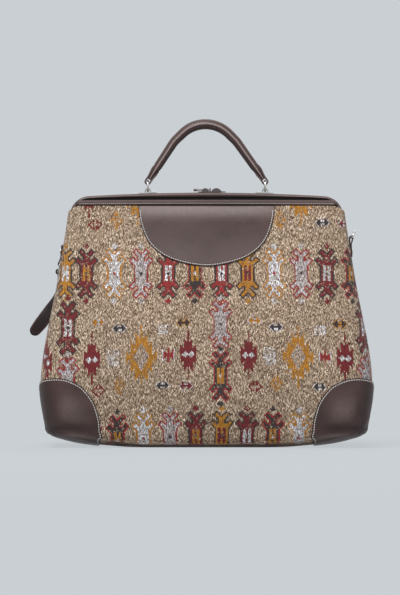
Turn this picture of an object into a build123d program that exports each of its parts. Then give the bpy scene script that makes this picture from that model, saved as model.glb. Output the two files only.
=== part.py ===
from build123d import *
import os
from math import atan2, cos, radians, sin, sqrt

os.makedirs("parts", exist_ok=True)

# A frame-top carpet bag: cloth body, two hinged frame halves, handle, lock, end rings.
# X runs along the frame, the front is -Y, Z is up, and the base stands on the floor at zero.

# Driving dimensions, in millimetres
bag_width = 444.0
bag_depth = 194.0
body_height = 328.0
base_edge_height = 18.0
base_flat_length = 236.0
base_flat_depth = 124.0
base_flat_corner = 45.0
belly_corner = 28.0
top_corner = 9.0
front_bulge = 6.0
gusset_fold = 10.0
cloth_thickness = 2.5
leather_thickness = 1.8
seat_gap = 0.3
side_gap = 1.0
board_thickness = 2.5
board_margin = 8.0

frame_inset = 37.5
frame_rise = 18.5
frame_crown = 9.0
frame_corner = 20.0
bar_height = 14.0
bar_depth = 10.0
frame_gap = 1.0
cover_edge = 2.8
cover_leg = 22.0
steel_height = 8.0
steel_depth = 4.0
steel_fit = 0.05
hinge_drop = 70.0
eye_radius = 8.0
eye_thickness = 3.0
eye_gap = 0.3
eye_arm = 18.0
hinge_pin_radius = 2.5
hinge_fit = 0.05
hinge_head_radius = 4.5
hinge_head_thickness = 1.5
shoulder_inset = 18.0
shoulder_drop = 11.0

welt_thickness = 3.6
welt_height = 8.2
welt_crown = 1.6
welt_inset = 8.0
welt_edge = 1.4

yoke_width = 186.0
yoke_drop = 83.0
patch_width = 82.0
patch_height = 91.0
patch_reach = 70.0
patch_floor = 0.6
join_tolerance = 0.01

handle_span = 160.0
handle_rise = 78.0
handle_bend = 45.0
grip_radius = 6.3
cord_radius = 3.9
cord_fit = 0.05
grip_slit = 0.6
grip_neck = 14.0
neck_lap = 4.0
cord_start = 5.0
loop_leather = 2.3
loop_width = 8.0
ring_radius = 7.0
ring_wire = 1.4
plate_length = 26.0
plate_width = 8.0
plate_thickness = 1.2
plate_gap = 0.05
eye_clearance = 0.9
staple_wire = 2.2
staple_width = 3.0
rivet_radius = 1.1
rivet_fit = 0.05
rivet_head_radius = 1.9
rivet_head_height = 0.8

lock_shift = 5.0
lock_plate_length = 38.0
lock_plate_offset = 2.0
lock_width = 7.0
hump_height = 4.4
near_hump_length = 10.0
far_hump_length = 14.0
hump_space = 3.0
pin_radius = 1.15
pin_fit = 0.1
pin_axis_height = 2.25
pin_travel = 6.0
pin_tip_gap = 0.2
knob_radius = 2.0
knob_length = 5.0
fin_thickness = 1.8
fin_lift = 0.4
fin_nose = 2.2
hasp_length = 30.0

tab_leather = 1.6
tab_tail = 9.0
tab_reach = 18.0
tab_gap = 0.6
end_ring_radius = 8.0
end_ring_stem = 3.0
end_ring_wire = 1.2
end_ring_corner = 2.2
end_ring_fit = 0.35
right_ring_lift = 60.0
left_ring_lift = -80.0
tab_rivet_radius = 1.6
tab_rivet_head = 3.6
tab_rivet_head_height = 1.2

strap_thickness = 3.2
strap_loop_width = 7.0
strap_width = 16.0
strap_reach = 34.0
strap_quarter_turn = 90.0

# Height, width, depth, corner, fold and bulge shares of the wall, from the base edge to the top
wall_shares = [
    (0.0, 0.69, 0.94, 0.95, 0.0, 0.5),
    (0.1, 0.90, 1.00, 1.0, 0.0, 0.85),
    (0.2, 1.00, 1.00, 1.0, 0.0, 1.0),
    (0.3, 0.97, 0.952, 0.97, 0.15, 1.0),
    (0.4, 0.88, 0.868, 0.9, 0.4, 1.0),
    (0.5, 0.75, 0.76, 0.79, 0.75, 0.9),
    (0.6, 0.60, 0.623, 0.63, 0.95, 0.75),
    (0.7, 0.44, 0.449, 0.47, 0.7, 0.5),
    (0.8, 0.28, 0.275, 0.29, 0.2, 0.3),
    (0.9, 0.12, 0.12, 0.13, 0.0, 0.15),
    (1.0, 0.0, 0.0, 0.0, 0.0, 0.05),
]
# Rise, spread and slope shares of the base between its flat and its edge
base_shares = [(0.0, 0.0, 1.0), (0.3, 0.55, 0.8), (1.0, 1.0, 0.0)]
rivet_level_share = 0.8
corner_mid_share = 1.0 - sqrt(0.5)
# Across and down shares of half the yoke outline
yoke_shares = [
    (1.0, 0.0),
    (0.975, 0.25),
    (0.89, 0.52),
    (0.75, 0.72),
    (0.54, 0.87),
    (0.28, 0.96),
    (0.0, 1.0),
]
# Inward and upward shares of the corner patch, on the front and on the gusset
patch_front_shares = [
    (1.0, -0.1),
    (0.93, 0.45),
    (0.80, 0.69),
    (0.61, 0.88),
    (0.21, 1.0),
    (-0.05, 0.88),
]
patch_side_shares = [
    (1.0, -0.1),
    (0.95, 0.3),
    (0.78, 0.6),
    (0.5, 0.82),
    (0.25, 0.95),
    (-0.1, 1.3),
]
# Across and up shares of the handle's bend points
handle_knee_shares = (0.525, 0.70)
handle_peak_share = 1.25
neck_share = 0.95
strap_edge_share = 0.3
strap_drop_share = 0.256
strap_lap_share = 0.1
# Along, outward, twist and width shares of the hang strap
strap_shares = [
    (0.0, 0.0, 0.0, 0.0),
    (0.28, 0.04, 0.12, 0.75),
    (0.55, 0.26, 0.6, 1.0),
    (0.80, 0.64, 0.95, 1.0),
    (1.0, 1.0, 1.0, 0.45),
]

# Sizes worked out from the driving dimensions
half_frame = bag_width / 2 - frame_inset
top_half_width = half_frame + side_gap + cloth_thickness
bar_front = frame_gap / 2 + bar_depth
bar_middle = frame_gap / 2 + bar_depth / 2
top_half_depth = bar_front + seat_gap + cloth_thickness
frame_top = body_height + frame_rise
arch_end = frame_top - frame_crown
arch_radius = (half_frame**2 + frame_crown**2) / (2 * frame_crown)
hinge_height = body_height - hinge_drop
leg_middle = half_frame - bar_height / 2
cover_foot = body_height - cover_leg
far_reach = bag_width
strap_drop = body_height * strap_drop_share


def wall_level(shares):
    """Height, half width, half depth, corner, fold and bulge at one level of the wall."""
    rise, wide, deep, corner, fold, bulge = shares
    return (
        base_edge_height + rise * (body_height - base_edge_height),
        top_half_width + wide * (bag_width / 2 - top_half_width),
        top_half_depth + deep * (bag_depth / 2 - top_half_depth),
        top_corner + corner * (belly_corner - top_corner),
        fold * gusset_fold,
        bulge * front_bulge,
    )


wall_levels = [wall_level(shares) for shares in wall_shares]
edge_level = wall_levels[0]


def base_level(shares, grow):
    """One level of the base, grown by a thickness square to its surface."""
    rise, spread, slope = shares
    side = grow * (1 - slope)
    height = rise * edge_level[0] - grow * slope
    half_width = base_flat_length / 2 + spread * (edge_level[1] - base_flat_length / 2) + side
    half_depth = base_flat_depth / 2 + spread * (edge_level[2] - base_flat_depth / 2) + side
    corner = base_flat_corner + spread * (edge_level[3] - base_flat_corner) + side
    return height, half_width, half_depth, corner, 0, spread * edge_level[5]


def grown(level, grow):
    """The same level, thicker by grow on every side."""
    height, half_width, half_depth, corner, fold, bulge = level
    return height, half_width + grow, half_depth + grow, corner + grow, fold, bulge


def front_points(level):
    """Points of the front outline: left seam, left corner, left end, middle, then the right ones."""
    height, half_width, half_depth, corner, fold, bulge = level
    cut = corner * corner_mid_share
    right = [
        (half_width - corner, -half_depth),
        (half_width - cut, -half_depth + cut),
        (half_width, -half_depth + corner),
    ]
    left = [(-x, y) for x, y in reversed(right)]
    return left + [(0, -half_depth - bulge)] + right


def gusset_points(level):
    """Outline of the right gusset from the front seam over the fold to the back seam."""
    height, half_width, half_depth, corner, fold, bulge = level
    seam = half_depth - corner
    return [(half_width, -seam), (half_width - fold, 0), (half_width, seam)]


def loop_fit(radius, wire, width):
    """Radius of a straight loop round a bent wire, and how far its axis lies inside the wire's."""
    chord = sqrt(radius**2 - (width / 2) ** 2)
    reach = radius - chord + wire * radius / chord
    return (wire + reach) / 2 + seat_gap / 2, (reach - wire) / 2


def bar_top(x):
    """Height of the crowned frame top at a place along the frame."""
    return frame_top - arch_radius + sqrt(arch_radius**2 - x**2)


def save(builder, label):
    """Name a finished piece and write its file."""
    builder.part.label = label
    export_step(builder.part, f"parts/{label}.step")


across_front = [(1, 0), (1, 0)]
along_side = [(0, 1), (0, 1)]

# Leather layers over the front cloth and the right gusset, from which patches are cut
with BuildPart() as front_layer:
    for level in wall_levels:
        outer = front_points(grown(level, seat_gap + leather_thickness))
        inner = front_points(grown(level, seat_gap))
        with BuildSketch(Plane.XY.offset(level[0])):
            with BuildLine():
                for points in (outer, inner):
                    ThreePointArc(*points[:3])
                    Spline(*points[2:5], tangents=across_front)
                    ThreePointArc(*points[4:])
                Line(outer[-1], inner[-1])
                Line(inner[0], outer[0])
            make_face()
    loft()

with BuildPart() as gusset_layer:
    for level in wall_levels:
        outer = gusset_points(grown(level, seat_gap + leather_thickness))
        inner = gusset_points(grown(level, seat_gap))
        with BuildSketch(Plane.XY.offset(level[0])):
            with BuildLine():
                Spline(*outer, tangents=along_side)
                Line(outer[-1], inner[-1])
                Spline(*inner, tangents=along_side)
                Line(inner[0], outer[0])
            make_face()
    loft()

# Shoulders: the cloth's top corners drop away over the ends of the frame
with BuildPart() as shoulders:
    with BuildSketch(Plane.XZ) as shoulder_face:
        with BuildLine():
            shoulder_start = (top_half_width - shoulder_inset, body_height)
            shoulder_end = (top_half_width + cloth_thickness, body_height - shoulder_drop)
            shoulder_arc = TangentArc(shoulder_start, shoulder_end, tangent=(1, 0))
            Polyline(
                shoulder_end,
                (far_reach, body_height - shoulder_drop),
                (far_reach, body_height + frame_rise),
                (shoulder_start[0], body_height + frame_rise),
                shoulder_start,
            )
        make_face()
        mirror(about=Plane.YZ)
    extrude(amount=bag_depth, both=True)

# Front and back panels of patterned cloth
with BuildPart() as front_panel:
    for level in wall_levels:
        outer = front_points(level)
        inner = front_points(grown(level, -cloth_thickness))
        with BuildSketch(Plane.XY.offset(level[0])):
            with BuildLine():
                for points in (outer, inner):
                    ThreePointArc(*points[:3])
                    Spline(*points[2:5], tangents=across_front)
                    ThreePointArc(*points[4:])
                Line(outer[-1], inner[-1])
                Line(inner[0], outer[0])
            make_face()
    loft()
    add(shoulders.part, mode=Mode.SUBTRACT)
save(front_panel, "front_panel")

with BuildPart() as back_panel:
    mirror(front_panel.part, about=Plane.XZ)
save(back_panel, "back_panel")

# Seat of the end tabs on the gussets, worked out from the wall's levels
rivet_index = round(rivet_level_share * (len(wall_levels) - 1))
rivet_level = wall_levels[rivet_index]
level_below = wall_levels[rivet_index - 1]
level_above = wall_levels[rivet_index + 1]
rivet_height = rivet_level[0]
rivet_face = rivet_level[1] - rivet_level[4]
face_below = level_below[1] - level_below[4]
face_above = level_above[1] - level_above[4]
tab_slope = atan2(face_below - face_above, level_above[0] - level_below[0])

# Gussets with their inward fold
with BuildPart() as right_gusset:
    for level in wall_levels:
        outer = gusset_points(level)
        inner = gusset_points(grown(level, -cloth_thickness))
        with BuildSketch(Plane.XY.offset(level[0])):
            with BuildLine():
                Spline(*outer, tangents=along_side)
                Line(outer[-1], inner[-1])
                Spline(*inner, tangents=along_side)
                Line(inner[0], outer[0])
            make_face()
    loft()
    add(shoulders.part, mode=Mode.SUBTRACT)
    rivet_axis = Plane((rivet_face, 0, rivet_height), z_dir=(cos(tab_slope), 0, sin(tab_slope)))
    with BuildSketch(rivet_axis):
        Circle(tab_rivet_radius + rivet_fit)
    extrude(amount=gusset_fold, both=True, mode=Mode.SUBTRACT)
save(right_gusset, "right_gusset")

with BuildPart() as left_gusset:
    mirror(right_gusset.part, about=Plane.YZ)
save(left_gusset, "left_gusset")

# Base: a flat middle that rises to the edge all round
with BuildPart() as base_panel:
    for grow in (0, -cloth_thickness):
        for shares in base_shares:
            level = base_level(shares, grow)
            front = front_points(level)
            side = gusset_points(level)
            with BuildSketch(Plane.XY.offset(level[0])):
                with BuildLine() as base_line:
                    ThreePointArc(*front[:3])
                    Spline(*front[2:5], tangents=across_front)
                    ThreePointArc(*front[4:])
                    mirror(base_line.edges(), about=Plane.XZ)
                    side_edge = Spline(*side, tangents=along_side)
                    mirror(side_edge, about=Plane.YZ)
                make_face()
        loft(ruled=True, mode=Mode.ADD if grow == 0 else Mode.SUBTRACT)
save(base_panel, "base_panel")

# Stiff board on the base cloth
with BuildPart() as base_board:
    with BuildSketch(Plane.XY.offset(cloth_thickness + seat_gap)):
        RectangleRounded(
            base_flat_length - 2 * board_margin,
            base_flat_depth - 2 * board_margin,
            base_flat_corner - board_margin,
        )
    extrude(amount=board_thickness)
save(base_board, "base_board")

# Half-moon leather yokes under the frame
with BuildPart() as front_yoke:
    add(front_layer.part)
    with BuildSketch(Plane.XZ):
        with BuildLine() as yoke_line:
            drops = [
                (yoke_width / 2 * across, body_height - yoke_drop * down)
                for across, down in yoke_shares
            ]
            Spline(*drops, tangents=[(0, -1), (-1, 0)])
            mirror(yoke_line.edges(), about=Plane.YZ)
            Line(drops[0], (-drops[0][0], drops[0][1]))
        make_face()
    extrude(amount=bag_depth, mode=Mode.INTERSECT)
save(front_yoke, "front_yoke")

with BuildPart() as back_yoke:
    mirror(front_yoke.part, about=Plane.XZ)
save(back_yoke, "back_yoke")

# Leather corner patches, cut from the layers over the front, the gusset and the base
with BuildPart() as patch_cutter:
    with BuildSketch(Plane.XZ):
        with BuildLine():
            rim = [(bag_width / 2 - patch_width * x, patch_height * z) for x, z in patch_front_shares]
            Spline(*rim)
            Polyline(rim[-1], (far_reach, rim[-1][1]), (far_reach, rim[0][1]), rim[0])
        make_face()
    extrude(amount=bag_depth)
    with BuildSketch(Plane.YZ):
        with BuildLine():
            rim = [(-bag_depth / 2 + patch_reach * y, patch_height * z) for y, z in patch_side_shares]
            Spline(*rim)
            Polyline(rim[-1], (-far_reach, rim[-1][1]), (-far_reach, rim[0][1]), rim[0])
        make_face()
    extrude(amount=far_reach, mode=Mode.INTERSECT)
    split(bisect_by=Plane.XY.offset(patch_floor), keep=Keep.TOP)

with BuildPart() as patch_under:
    for grow in (seat_gap + leather_thickness, seat_gap):
        for shares in base_shares:
            level = base_level(shares, grow)
            front = front_points(level)
            side = gusset_points(level)
            with BuildSketch(Plane.XY.offset(level[0])):
                with BuildLine() as patch_line:
                    ThreePointArc(*front[:3])
                    Spline(*front[2:5], tangents=across_front)
                    ThreePointArc(*front[4:])
                    mirror(patch_line.edges(), about=Plane.XZ)
                    side_edge = Spline(*side, tangents=along_side)
                    mirror(side_edge, about=Plane.YZ)
                make_face()
        loft(ruled=True, mode=Mode.SUBTRACT if grow == seat_gap else Mode.ADD)
    add(patch_cutter.part, mode=Mode.INTERSECT)

patch_front = front_layer.part & patch_cutter.part
patch_side = gusset_layer.part & patch_cutter.part
patch_whole = patch_front.fuse(patch_side, patch_under.part, tol=join_tolerance)

with BuildPart() as front_right_corner:
    add(patch_whole)
save(front_right_corner, "front_right_corner")

with BuildPart() as front_left_corner:
    mirror(front_right_corner.part, about=Plane.YZ)
save(front_left_corner, "front_left_corner")

with BuildPart() as back_right_corner:
    mirror(front_right_corner.part, about=Plane.XZ)
save(back_right_corner, "back_right_corner")

with BuildPart() as back_left_corner:
    mirror(front_left_corner.part, about=Plane.XZ)
save(back_left_corner, "back_left_corner")

# Frame halves: a steel bow with hinge eyes inside a leather cover
steel_inset = (bar_height - steel_height) / 2
front_eye = leg_middle - steel_height / 2
rear_eye = front_eye + eye_thickness + eye_gap

with BuildPart() as bow_blank:
    with BuildSketch(Plane.XZ.offset(bar_middle - steel_depth / 2)) as bow_face:
        for shrink, mode in ((steel_inset, Mode.ADD), (steel_inset + steel_height, Mode.SUBTRACT)):
            with BuildSketch(mode=Mode.PRIVATE) as bow_outline:
                with BuildLine():
                    bow_side = half_frame - shrink
                    bow_foot = hinge_height + eye_arm
                    bow_end = arch_end - shrink
                    ThreePointArc((-bow_side, bow_end), (0, frame_top - shrink), (bow_side, bow_end))
                    Polyline(
                        (bow_side, bow_end),
                        (bow_side, bow_foot),
                        (-bow_side, bow_foot),
                        (-bow_side, bow_end),
                    )
                make_face()
                fillet(bow_outline.vertices().group_by(Axis.Y)[-1], frame_corner - shrink)
            add(bow_outline.sketch, mode=mode)
    extrude(amount=steel_depth)

for name, eye_start, side_plane in (("front", front_eye, None), ("rear", rear_eye, Plane.XZ)):
    with BuildPart() as bow:
        if side_plane is None:
            add(bow_blank.part)
        else:
            mirror(bow_blank.part, about=side_plane)
        arm_middle = -bar_middle if side_plane is None else bar_middle
        with BuildSketch(Plane.YZ.offset(eye_start)):
            with Locations((0, hinge_height)):
                Circle(eye_radius)
            with Locations((arm_middle, hinge_height + eye_arm / 2)):
                Rectangle(steel_depth, eye_arm)
            with Locations((0, hinge_height)):
                Circle(hinge_pin_radius + hinge_fit, mode=Mode.SUBTRACT)
        right_eye = extrude(amount=eye_thickness)
        mirror(right_eye, about=Plane.YZ)
    save(bow, f"{name}_bow")

with BuildPart() as cover_blank:
    with BuildSketch(Plane.XZ.offset(frame_gap / 2)):
        for shrink, mode in ((0, Mode.ADD), (bar_height, Mode.SUBTRACT)):
            with BuildSketch(mode=Mode.PRIVATE) as cover_outline:
                with BuildLine():
                    cover_side = half_frame - shrink
                    cover_end = arch_end - shrink
                    ThreePointArc((-cover_side, cover_end), (0, frame_top - shrink), (cover_side, cover_end))
                    Polyline(
                        (cover_side, cover_end),
                        (cover_side, cover_foot),
                        (-cover_side, cover_foot),
                        (-cover_side, cover_end),
                    )
                make_face()
                fillet(cover_outline.vertices().group_by(Axis.Y)[-1], frame_corner - shrink)
            add(cover_outline.sketch, mode=mode)
    extrude(amount=bar_depth)
    long_faces = cover_blank.faces().filter_by(Axis.Y)
    fillet(long_faces.edges().filter_by(lambda edge: edge.center().Z > cover_foot + steel_fit), cover_edge)
    with BuildSketch(Plane.XZ.offset(bar_middle - steel_depth / 2 - steel_fit)):
        bore_outer = steel_inset - steel_fit
        bore_inner = steel_inset + steel_height + steel_fit
        for shrink, mode in ((bore_outer, Mode.ADD), (bore_inner, Mode.SUBTRACT)):
            with BuildSketch(mode=Mode.PRIVATE) as bore_outline:
                with BuildLine():
                    bore_side = half_frame - shrink
                    bore_end = arch_end - shrink
                    bore_foot = hinge_height
                    ThreePointArc((-bore_side, bore_end), (0, frame_top - shrink), (bore_side, bore_end))
                    Polyline(
                        (bore_side, bore_end),
                        (bore_side, bore_foot),
                        (-bore_side, bore_foot),
                        (-bore_side, bore_end),
                    )
                make_face()
                fillet(bore_outline.vertices().group_by(Axis.Y)[-1], frame_corner - shrink)
            add(bore_outline.sketch, mode=mode)
    extrude(amount=steel_depth + 2 * steel_fit, mode=Mode.SUBTRACT)

with BuildPart() as front_cover:
    add(cover_blank.part)
save(front_cover, "front_cover")

with BuildPart() as rear_cover:
    mirror(cover_blank.part, about=Plane.XZ)
save(rear_cover, "rear_cover")

# Hinge rivets through both eyes
for name, side in (("left", -1), ("right", 1)):
    with BuildPart() as hinge_rivet:
        with BuildSketch(Plane.YZ.offset(side * (front_eye - eye_gap))):
            with Locations((0, hinge_height)):
                Circle(hinge_pin_radius)
        shank_length = 2 * eye_thickness + 3 * eye_gap
        extrude(amount=side * shank_length)
        with BuildSketch(Plane.YZ.offset(side * (front_eye - eye_gap))):
            with Locations((0, hinge_height)):
                Circle(hinge_head_radius)
        extrude(amount=-side * hinge_head_thickness)
        with BuildSketch(Plane.YZ.offset(side * (front_eye - eye_gap + shank_length))):
            with Locations((0, hinge_height)):
                Circle(hinge_head_radius)
        extrude(amount=side * hinge_head_thickness)
        fillet(hinge_rivet.edges().filter_by(GeomType.CIRCLE).group_by(Axis.X)[-1], hinge_head_thickness / 2)
    save(hinge_rivet, f"{name}_hinge_rivet")

# Welts: leather strips in front of the bars, over the cloth's top edge
with BuildPart() as front_welt:
    with BuildSketch(Plane.XZ.offset(bar_front + seat_gap)) as welt_face:
        with BuildLine():
            welt_half = half_frame - welt_inset
            welt_foot = body_height + seat_gap
            welt_end = welt_foot + welt_height - welt_crown
            ThreePointArc((-welt_half, welt_end), (0, welt_foot + welt_height), (welt_half, welt_end))
            Polyline(
                (welt_half, welt_end),
                (welt_half, welt_foot),
                (-welt_half, welt_foot),
                (-welt_half, welt_end),
            )
        make_face()
        fillet(welt_face.vertices().group_by(Axis.Y)[-1], welt_height / 2)
    extrude(amount=welt_thickness)
    fillet(front_welt.faces().sort_by(Axis.Y)[0].edges(), welt_edge)
save(front_welt, "front_welt")

with BuildPart() as rear_welt:
    mirror(front_welt.part, about=Plane.XZ)
save(rear_welt, "rear_welt")

# Handle plates with their staples on the front half, and the rings in them
post = handle_span / 2
post_lean = atan2(post, sqrt(arch_radius**2 - post**2))
eye_lift = ring_wire + eye_clearance / 2
staple_hole = ring_wire + eye_clearance
plate_seat = (post, -bar_middle, bar_top(post))
seat_up = (sin(post_lean), 0, cos(post_lean))
seat_along = (cos(post_lean), 0, -sin(post_lean))
plate_plane = Plane(plate_seat, x_dir=seat_along, z_dir=seat_up).offset(plate_gap)
staple_plane = Plane(plate_plane.offset(plate_thickness).origin, x_dir=seat_along, z_dir=(0, -1, 0))
rivet_place = (plate_length - plate_width) / 2
ring_bottom = plate_plane.offset(plate_thickness + eye_lift).origin
ring_x = ring_bottom.X
ring_height = ring_bottom.Z + ring_radius

with BuildPart() as right_handle_plate:
    with BuildSketch(plate_plane):
        SlotOverall(plate_length, plate_width)
        with Locations((-rivet_place, 0), (rivet_place, 0)):
            Circle(rivet_radius + rivet_fit, mode=Mode.SUBTRACT)
    extrude(amount=plate_thickness)
    with BuildSketch(staple_plane):
        with Locations((0, eye_lift)):
            Circle(staple_hole + staple_wire)
        with Locations((0, eye_lift / 2)):
            Rectangle(2 * (staple_hole + staple_wire), eye_lift)
        with Locations((0, eye_lift)):
            Circle(staple_hole, mode=Mode.SUBTRACT)
        with Locations((0, eye_lift / 2)):
            Rectangle(2 * staple_hole, eye_lift, mode=Mode.SUBTRACT)
        with Locations((0, -staple_hole - staple_wire)):
            Rectangle(2 * bar_depth, 2 * (staple_hole + staple_wire), mode=Mode.SUBTRACT)
    extrude(amount=staple_width / 2, both=True)
save(right_handle_plate, "right_handle_plate")

with BuildPart() as left_handle_plate:
    mirror(right_handle_plate.part, about=Plane.YZ)
save(left_handle_plate, "left_handle_plate")

for place, shift in (("inner", -rivet_place), ("outer", rivet_place)):
    with BuildPart() as right_plate_rivet:
        with BuildSketch(plate_plane):
            with Locations((shift, 0)):
                Circle(rivet_radius)
        extrude(amount=plate_thickness)
        with BuildSketch(plate_plane.offset(plate_thickness)):
            with Locations((shift, 0)):
                Circle(rivet_head_radius)
        extrude(amount=rivet_head_height)
        fillet(right_plate_rivet.faces().sort_by(Axis.Z)[-1].edges(), rivet_head_height / 2)
    save(right_plate_rivet, f"right_{place}_plate_rivet")
    with BuildPart() as left_plate_rivet:
        mirror(right_plate_rivet.part, about=Plane.YZ)
    save(left_plate_rivet, f"left_{place}_plate_rivet")

for name, side in (("left", -1), ("right", 1)):
    with BuildPart() as handle_ring:
        with Locations(Plane((side * ring_x, -bar_middle, ring_height), z_dir=(1, 0, 0))):
            Torus(ring_radius, ring_wire)
    save(handle_ring, f"{name}_handle_ring")

# Handle: rolled leather round a cord, each end folded through its ring
loop_hole, loop_drop = loop_fit(ring_radius, ring_wire, loop_width)
loop_height = ring_height + ring_radius - loop_drop
knee = (ring_x * handle_knee_shares[0], loop_height + handle_rise * handle_knee_shares[1])
peak = (0, loop_height + handle_rise * handle_peak_share)
leg_angle = atan2(knee[1] - loop_height, ring_x - knee[0])


def on_leg(distance):
    """A point on the right leg of the handle, at a distance from the loop."""
    return ring_x - distance * cos(leg_angle), loop_height + distance * sin(leg_angle)


def handle_route(distance):
    """Bend points of the handle from leg to leg, starting at a distance from each loop."""
    start = on_leg(distance)
    return [start, knee, peak, (-knee[0], knee[1]), (-start[0], start[1])]


handle_plane = Plane.XZ.offset(bar_middle)
with BuildPart() as handle_grip:
    with BuildLine(handle_plane):
        grip_path = FilletPolyline(*handle_route(grip_neck), radius=handle_bend)
    grip_section = Plane(grip_path @ 0, x_dir=(0, 1, 0), z_dir=grip_path % 0)
    with BuildSketch(grip_section):
        Circle(grip_radius)
        Circle(cord_radius + cord_fit, mode=Mode.SUBTRACT)
        with Locations((0, -grip_radius)):
            Rectangle(grip_slit, 2 * (grip_radius - cord_radius) + cord_radius, mode=Mode.SUBTRACT)
    sweep(path=grip_path)
    for side in (1, -1):
        foot_x, foot_z = on_leg(0)
        neck_x, neck_z = on_leg(grip_neck + neck_lap / 2)
        with BuildSketch(handle_plane):
            with Locations((side * foot_x, foot_z)):
                Circle(loop_hole + loop_leather)
            with Locations((side * neck_x, neck_z)):
                Circle(grip_radius * neck_share)
            make_hull()
        extrude(amount=loop_width / 2, both=True)
        with BuildSketch(handle_plane):
            with Locations((side * foot_x, foot_z)):
                Circle(loop_hole)
        extrude(amount=loop_width, both=True, mode=Mode.SUBTRACT)
save(handle_grip, "handle_grip")

with BuildPart() as handle_cord:
    with BuildLine(handle_plane):
        cord_distance = grip_neck + neck_lap / 2 + grip_radius * neck_share + cord_start
        cord_path = FilletPolyline(*handle_route(cord_distance), radius=handle_bend)
    with BuildSketch(Plane(cord_path @ 0, x_dir=(0, 1, 0), z_dir=cord_path % 0)):
        Circle(cord_radius)
    sweep(path=cord_path)
save(handle_cord, "handle_cord")

# Lock on the frame top: plate with two humps, sliding pin, and the hasp on the rear half
lock_floor = frame_top + plate_gap
lock_face = lock_floor + plate_thickness
pin_height = lock_face + pin_axis_height
near_hump_start = lock_shift - hump_space / 2 - near_hump_length
far_hump_start = lock_shift + hump_space / 2
lock_middle = lock_shift + lock_plate_offset
lock_rivet_places = (
    near_hump_start - 2 * rivet_radius,
    far_hump_start + far_hump_length + 2 * rivet_radius,
)

with BuildPart() as lock_plate:
    with BuildSketch(Plane.XZ.offset(bar_middle)):
        with Locations((lock_middle, lock_floor + plate_thickness / 2)):
            Rectangle(lock_plate_length, plate_thickness)
        for start, length in ((near_hump_start, near_hump_length), (far_hump_start, far_hump_length)):
            hump_feet = ((start, lock_face), (start + length, lock_face))
            hump_top = (start + length / 2, lock_face + hump_height)
            with BuildLine():
                ThreePointArc(hump_feet[0], hump_top, hump_feet[1])
                Line(hump_feet[1], hump_feet[0])
            make_face()
    extrude(amount=lock_width / 2, both=True)
    with BuildSketch(Plane.YZ.offset(lock_shift - lock_plate_length)):
        with Locations((-bar_middle, pin_height)):
            Circle(pin_radius + pin_fit)
    extrude(amount=lock_plate_length + pin_travel + hump_space, mode=Mode.SUBTRACT)
    with BuildSketch(Plane.XY.offset(lock_floor)):
        with Locations(*[(x, -bar_middle) for x in lock_rivet_places]):
            Circle(rivet_radius + rivet_fit)
    extrude(amount=plate_thickness, mode=Mode.SUBTRACT)
save(lock_plate, "lock_plate")

for name, x in zip(("left", "right"), lock_rivet_places):
    with BuildPart() as lock_rivet:
        with BuildSketch(Plane.XY.offset(lock_floor)):
            with Locations((x, -bar_middle)):
                Circle(rivet_radius)
        extrude(amount=plate_thickness)
    save(lock_rivet, f"{name}_lock_rivet")

pin_tip = lock_shift - fin_thickness / 2 - pin_tip_gap
knob_end = near_hump_start - pin_travel - pin_tip_gap
pin_length = pin_tip - knob_end + knob_length
with BuildPart() as lock_pin:
    with BuildSketch(Plane.YZ.offset(pin_tip)):
        with Locations((-bar_middle, pin_height)):
            Circle(pin_radius)
    extrude(amount=-pin_length)
    with BuildSketch(Plane.YZ.offset(pin_tip - pin_length)):
        with Locations((-bar_middle, pin_height)):
            Circle(knob_radius)
    extrude(amount=knob_length)
    fillet(lock_pin.faces().sort_by(Axis.X)[0].edges(), knob_radius / 2)
save(lock_pin, "lock_pin")

with BuildPart() as lock_hasp:
    with BuildSketch(Plane.XY.offset(lock_floor)):
        with Locations((lock_shift, bar_middle)):
            SlotOverall(hasp_length, plate_width)
        with Locations((lock_shift - rivet_place, bar_middle), (lock_shift + rivet_place, bar_middle)):
            Circle(rivet_radius + rivet_fit, mode=Mode.SUBTRACT)
    extrude(amount=plate_thickness)
    with BuildSketch(Plane.YZ.offset(lock_shift)):
        with BuildLine():
            fin_front = -bar_middle - fin_nose
            fin_back = bar_middle + plate_width / 2 - fin_nose
            fin_low = lock_face + fin_lift
            fin_top = lock_face + hump_height
            hasp_front = bar_middle - plate_width / 2
            Polyline(
                (hasp_front, lock_face),
                (hasp_front - fin_lift, fin_low),
                (fin_front, fin_low),
                (fin_front, fin_top),
                (hasp_front, fin_top),
                (fin_back, lock_face + fin_lift),
                (fin_back, lock_face),
                close=True,
            )
        make_face()
        with Locations((-bar_middle, pin_height)):
            Circle(pin_radius + 2 * pin_fit, mode=Mode.SUBTRACT)
    extrude(amount=fin_thickness / 2, both=True)
save(lock_hasp, "lock_hasp")

for name, shift in (("left", -rivet_place), ("right", rivet_place)):
    with BuildPart() as hasp_rivet:
        with BuildSketch(Plane.XY.offset(lock_floor)):
            with Locations((lock_shift + shift, bar_middle)):
                Circle(rivet_radius)
        extrude(amount=plate_thickness)
    save(hasp_rivet, f"{name}_hasp_rivet")

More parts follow.
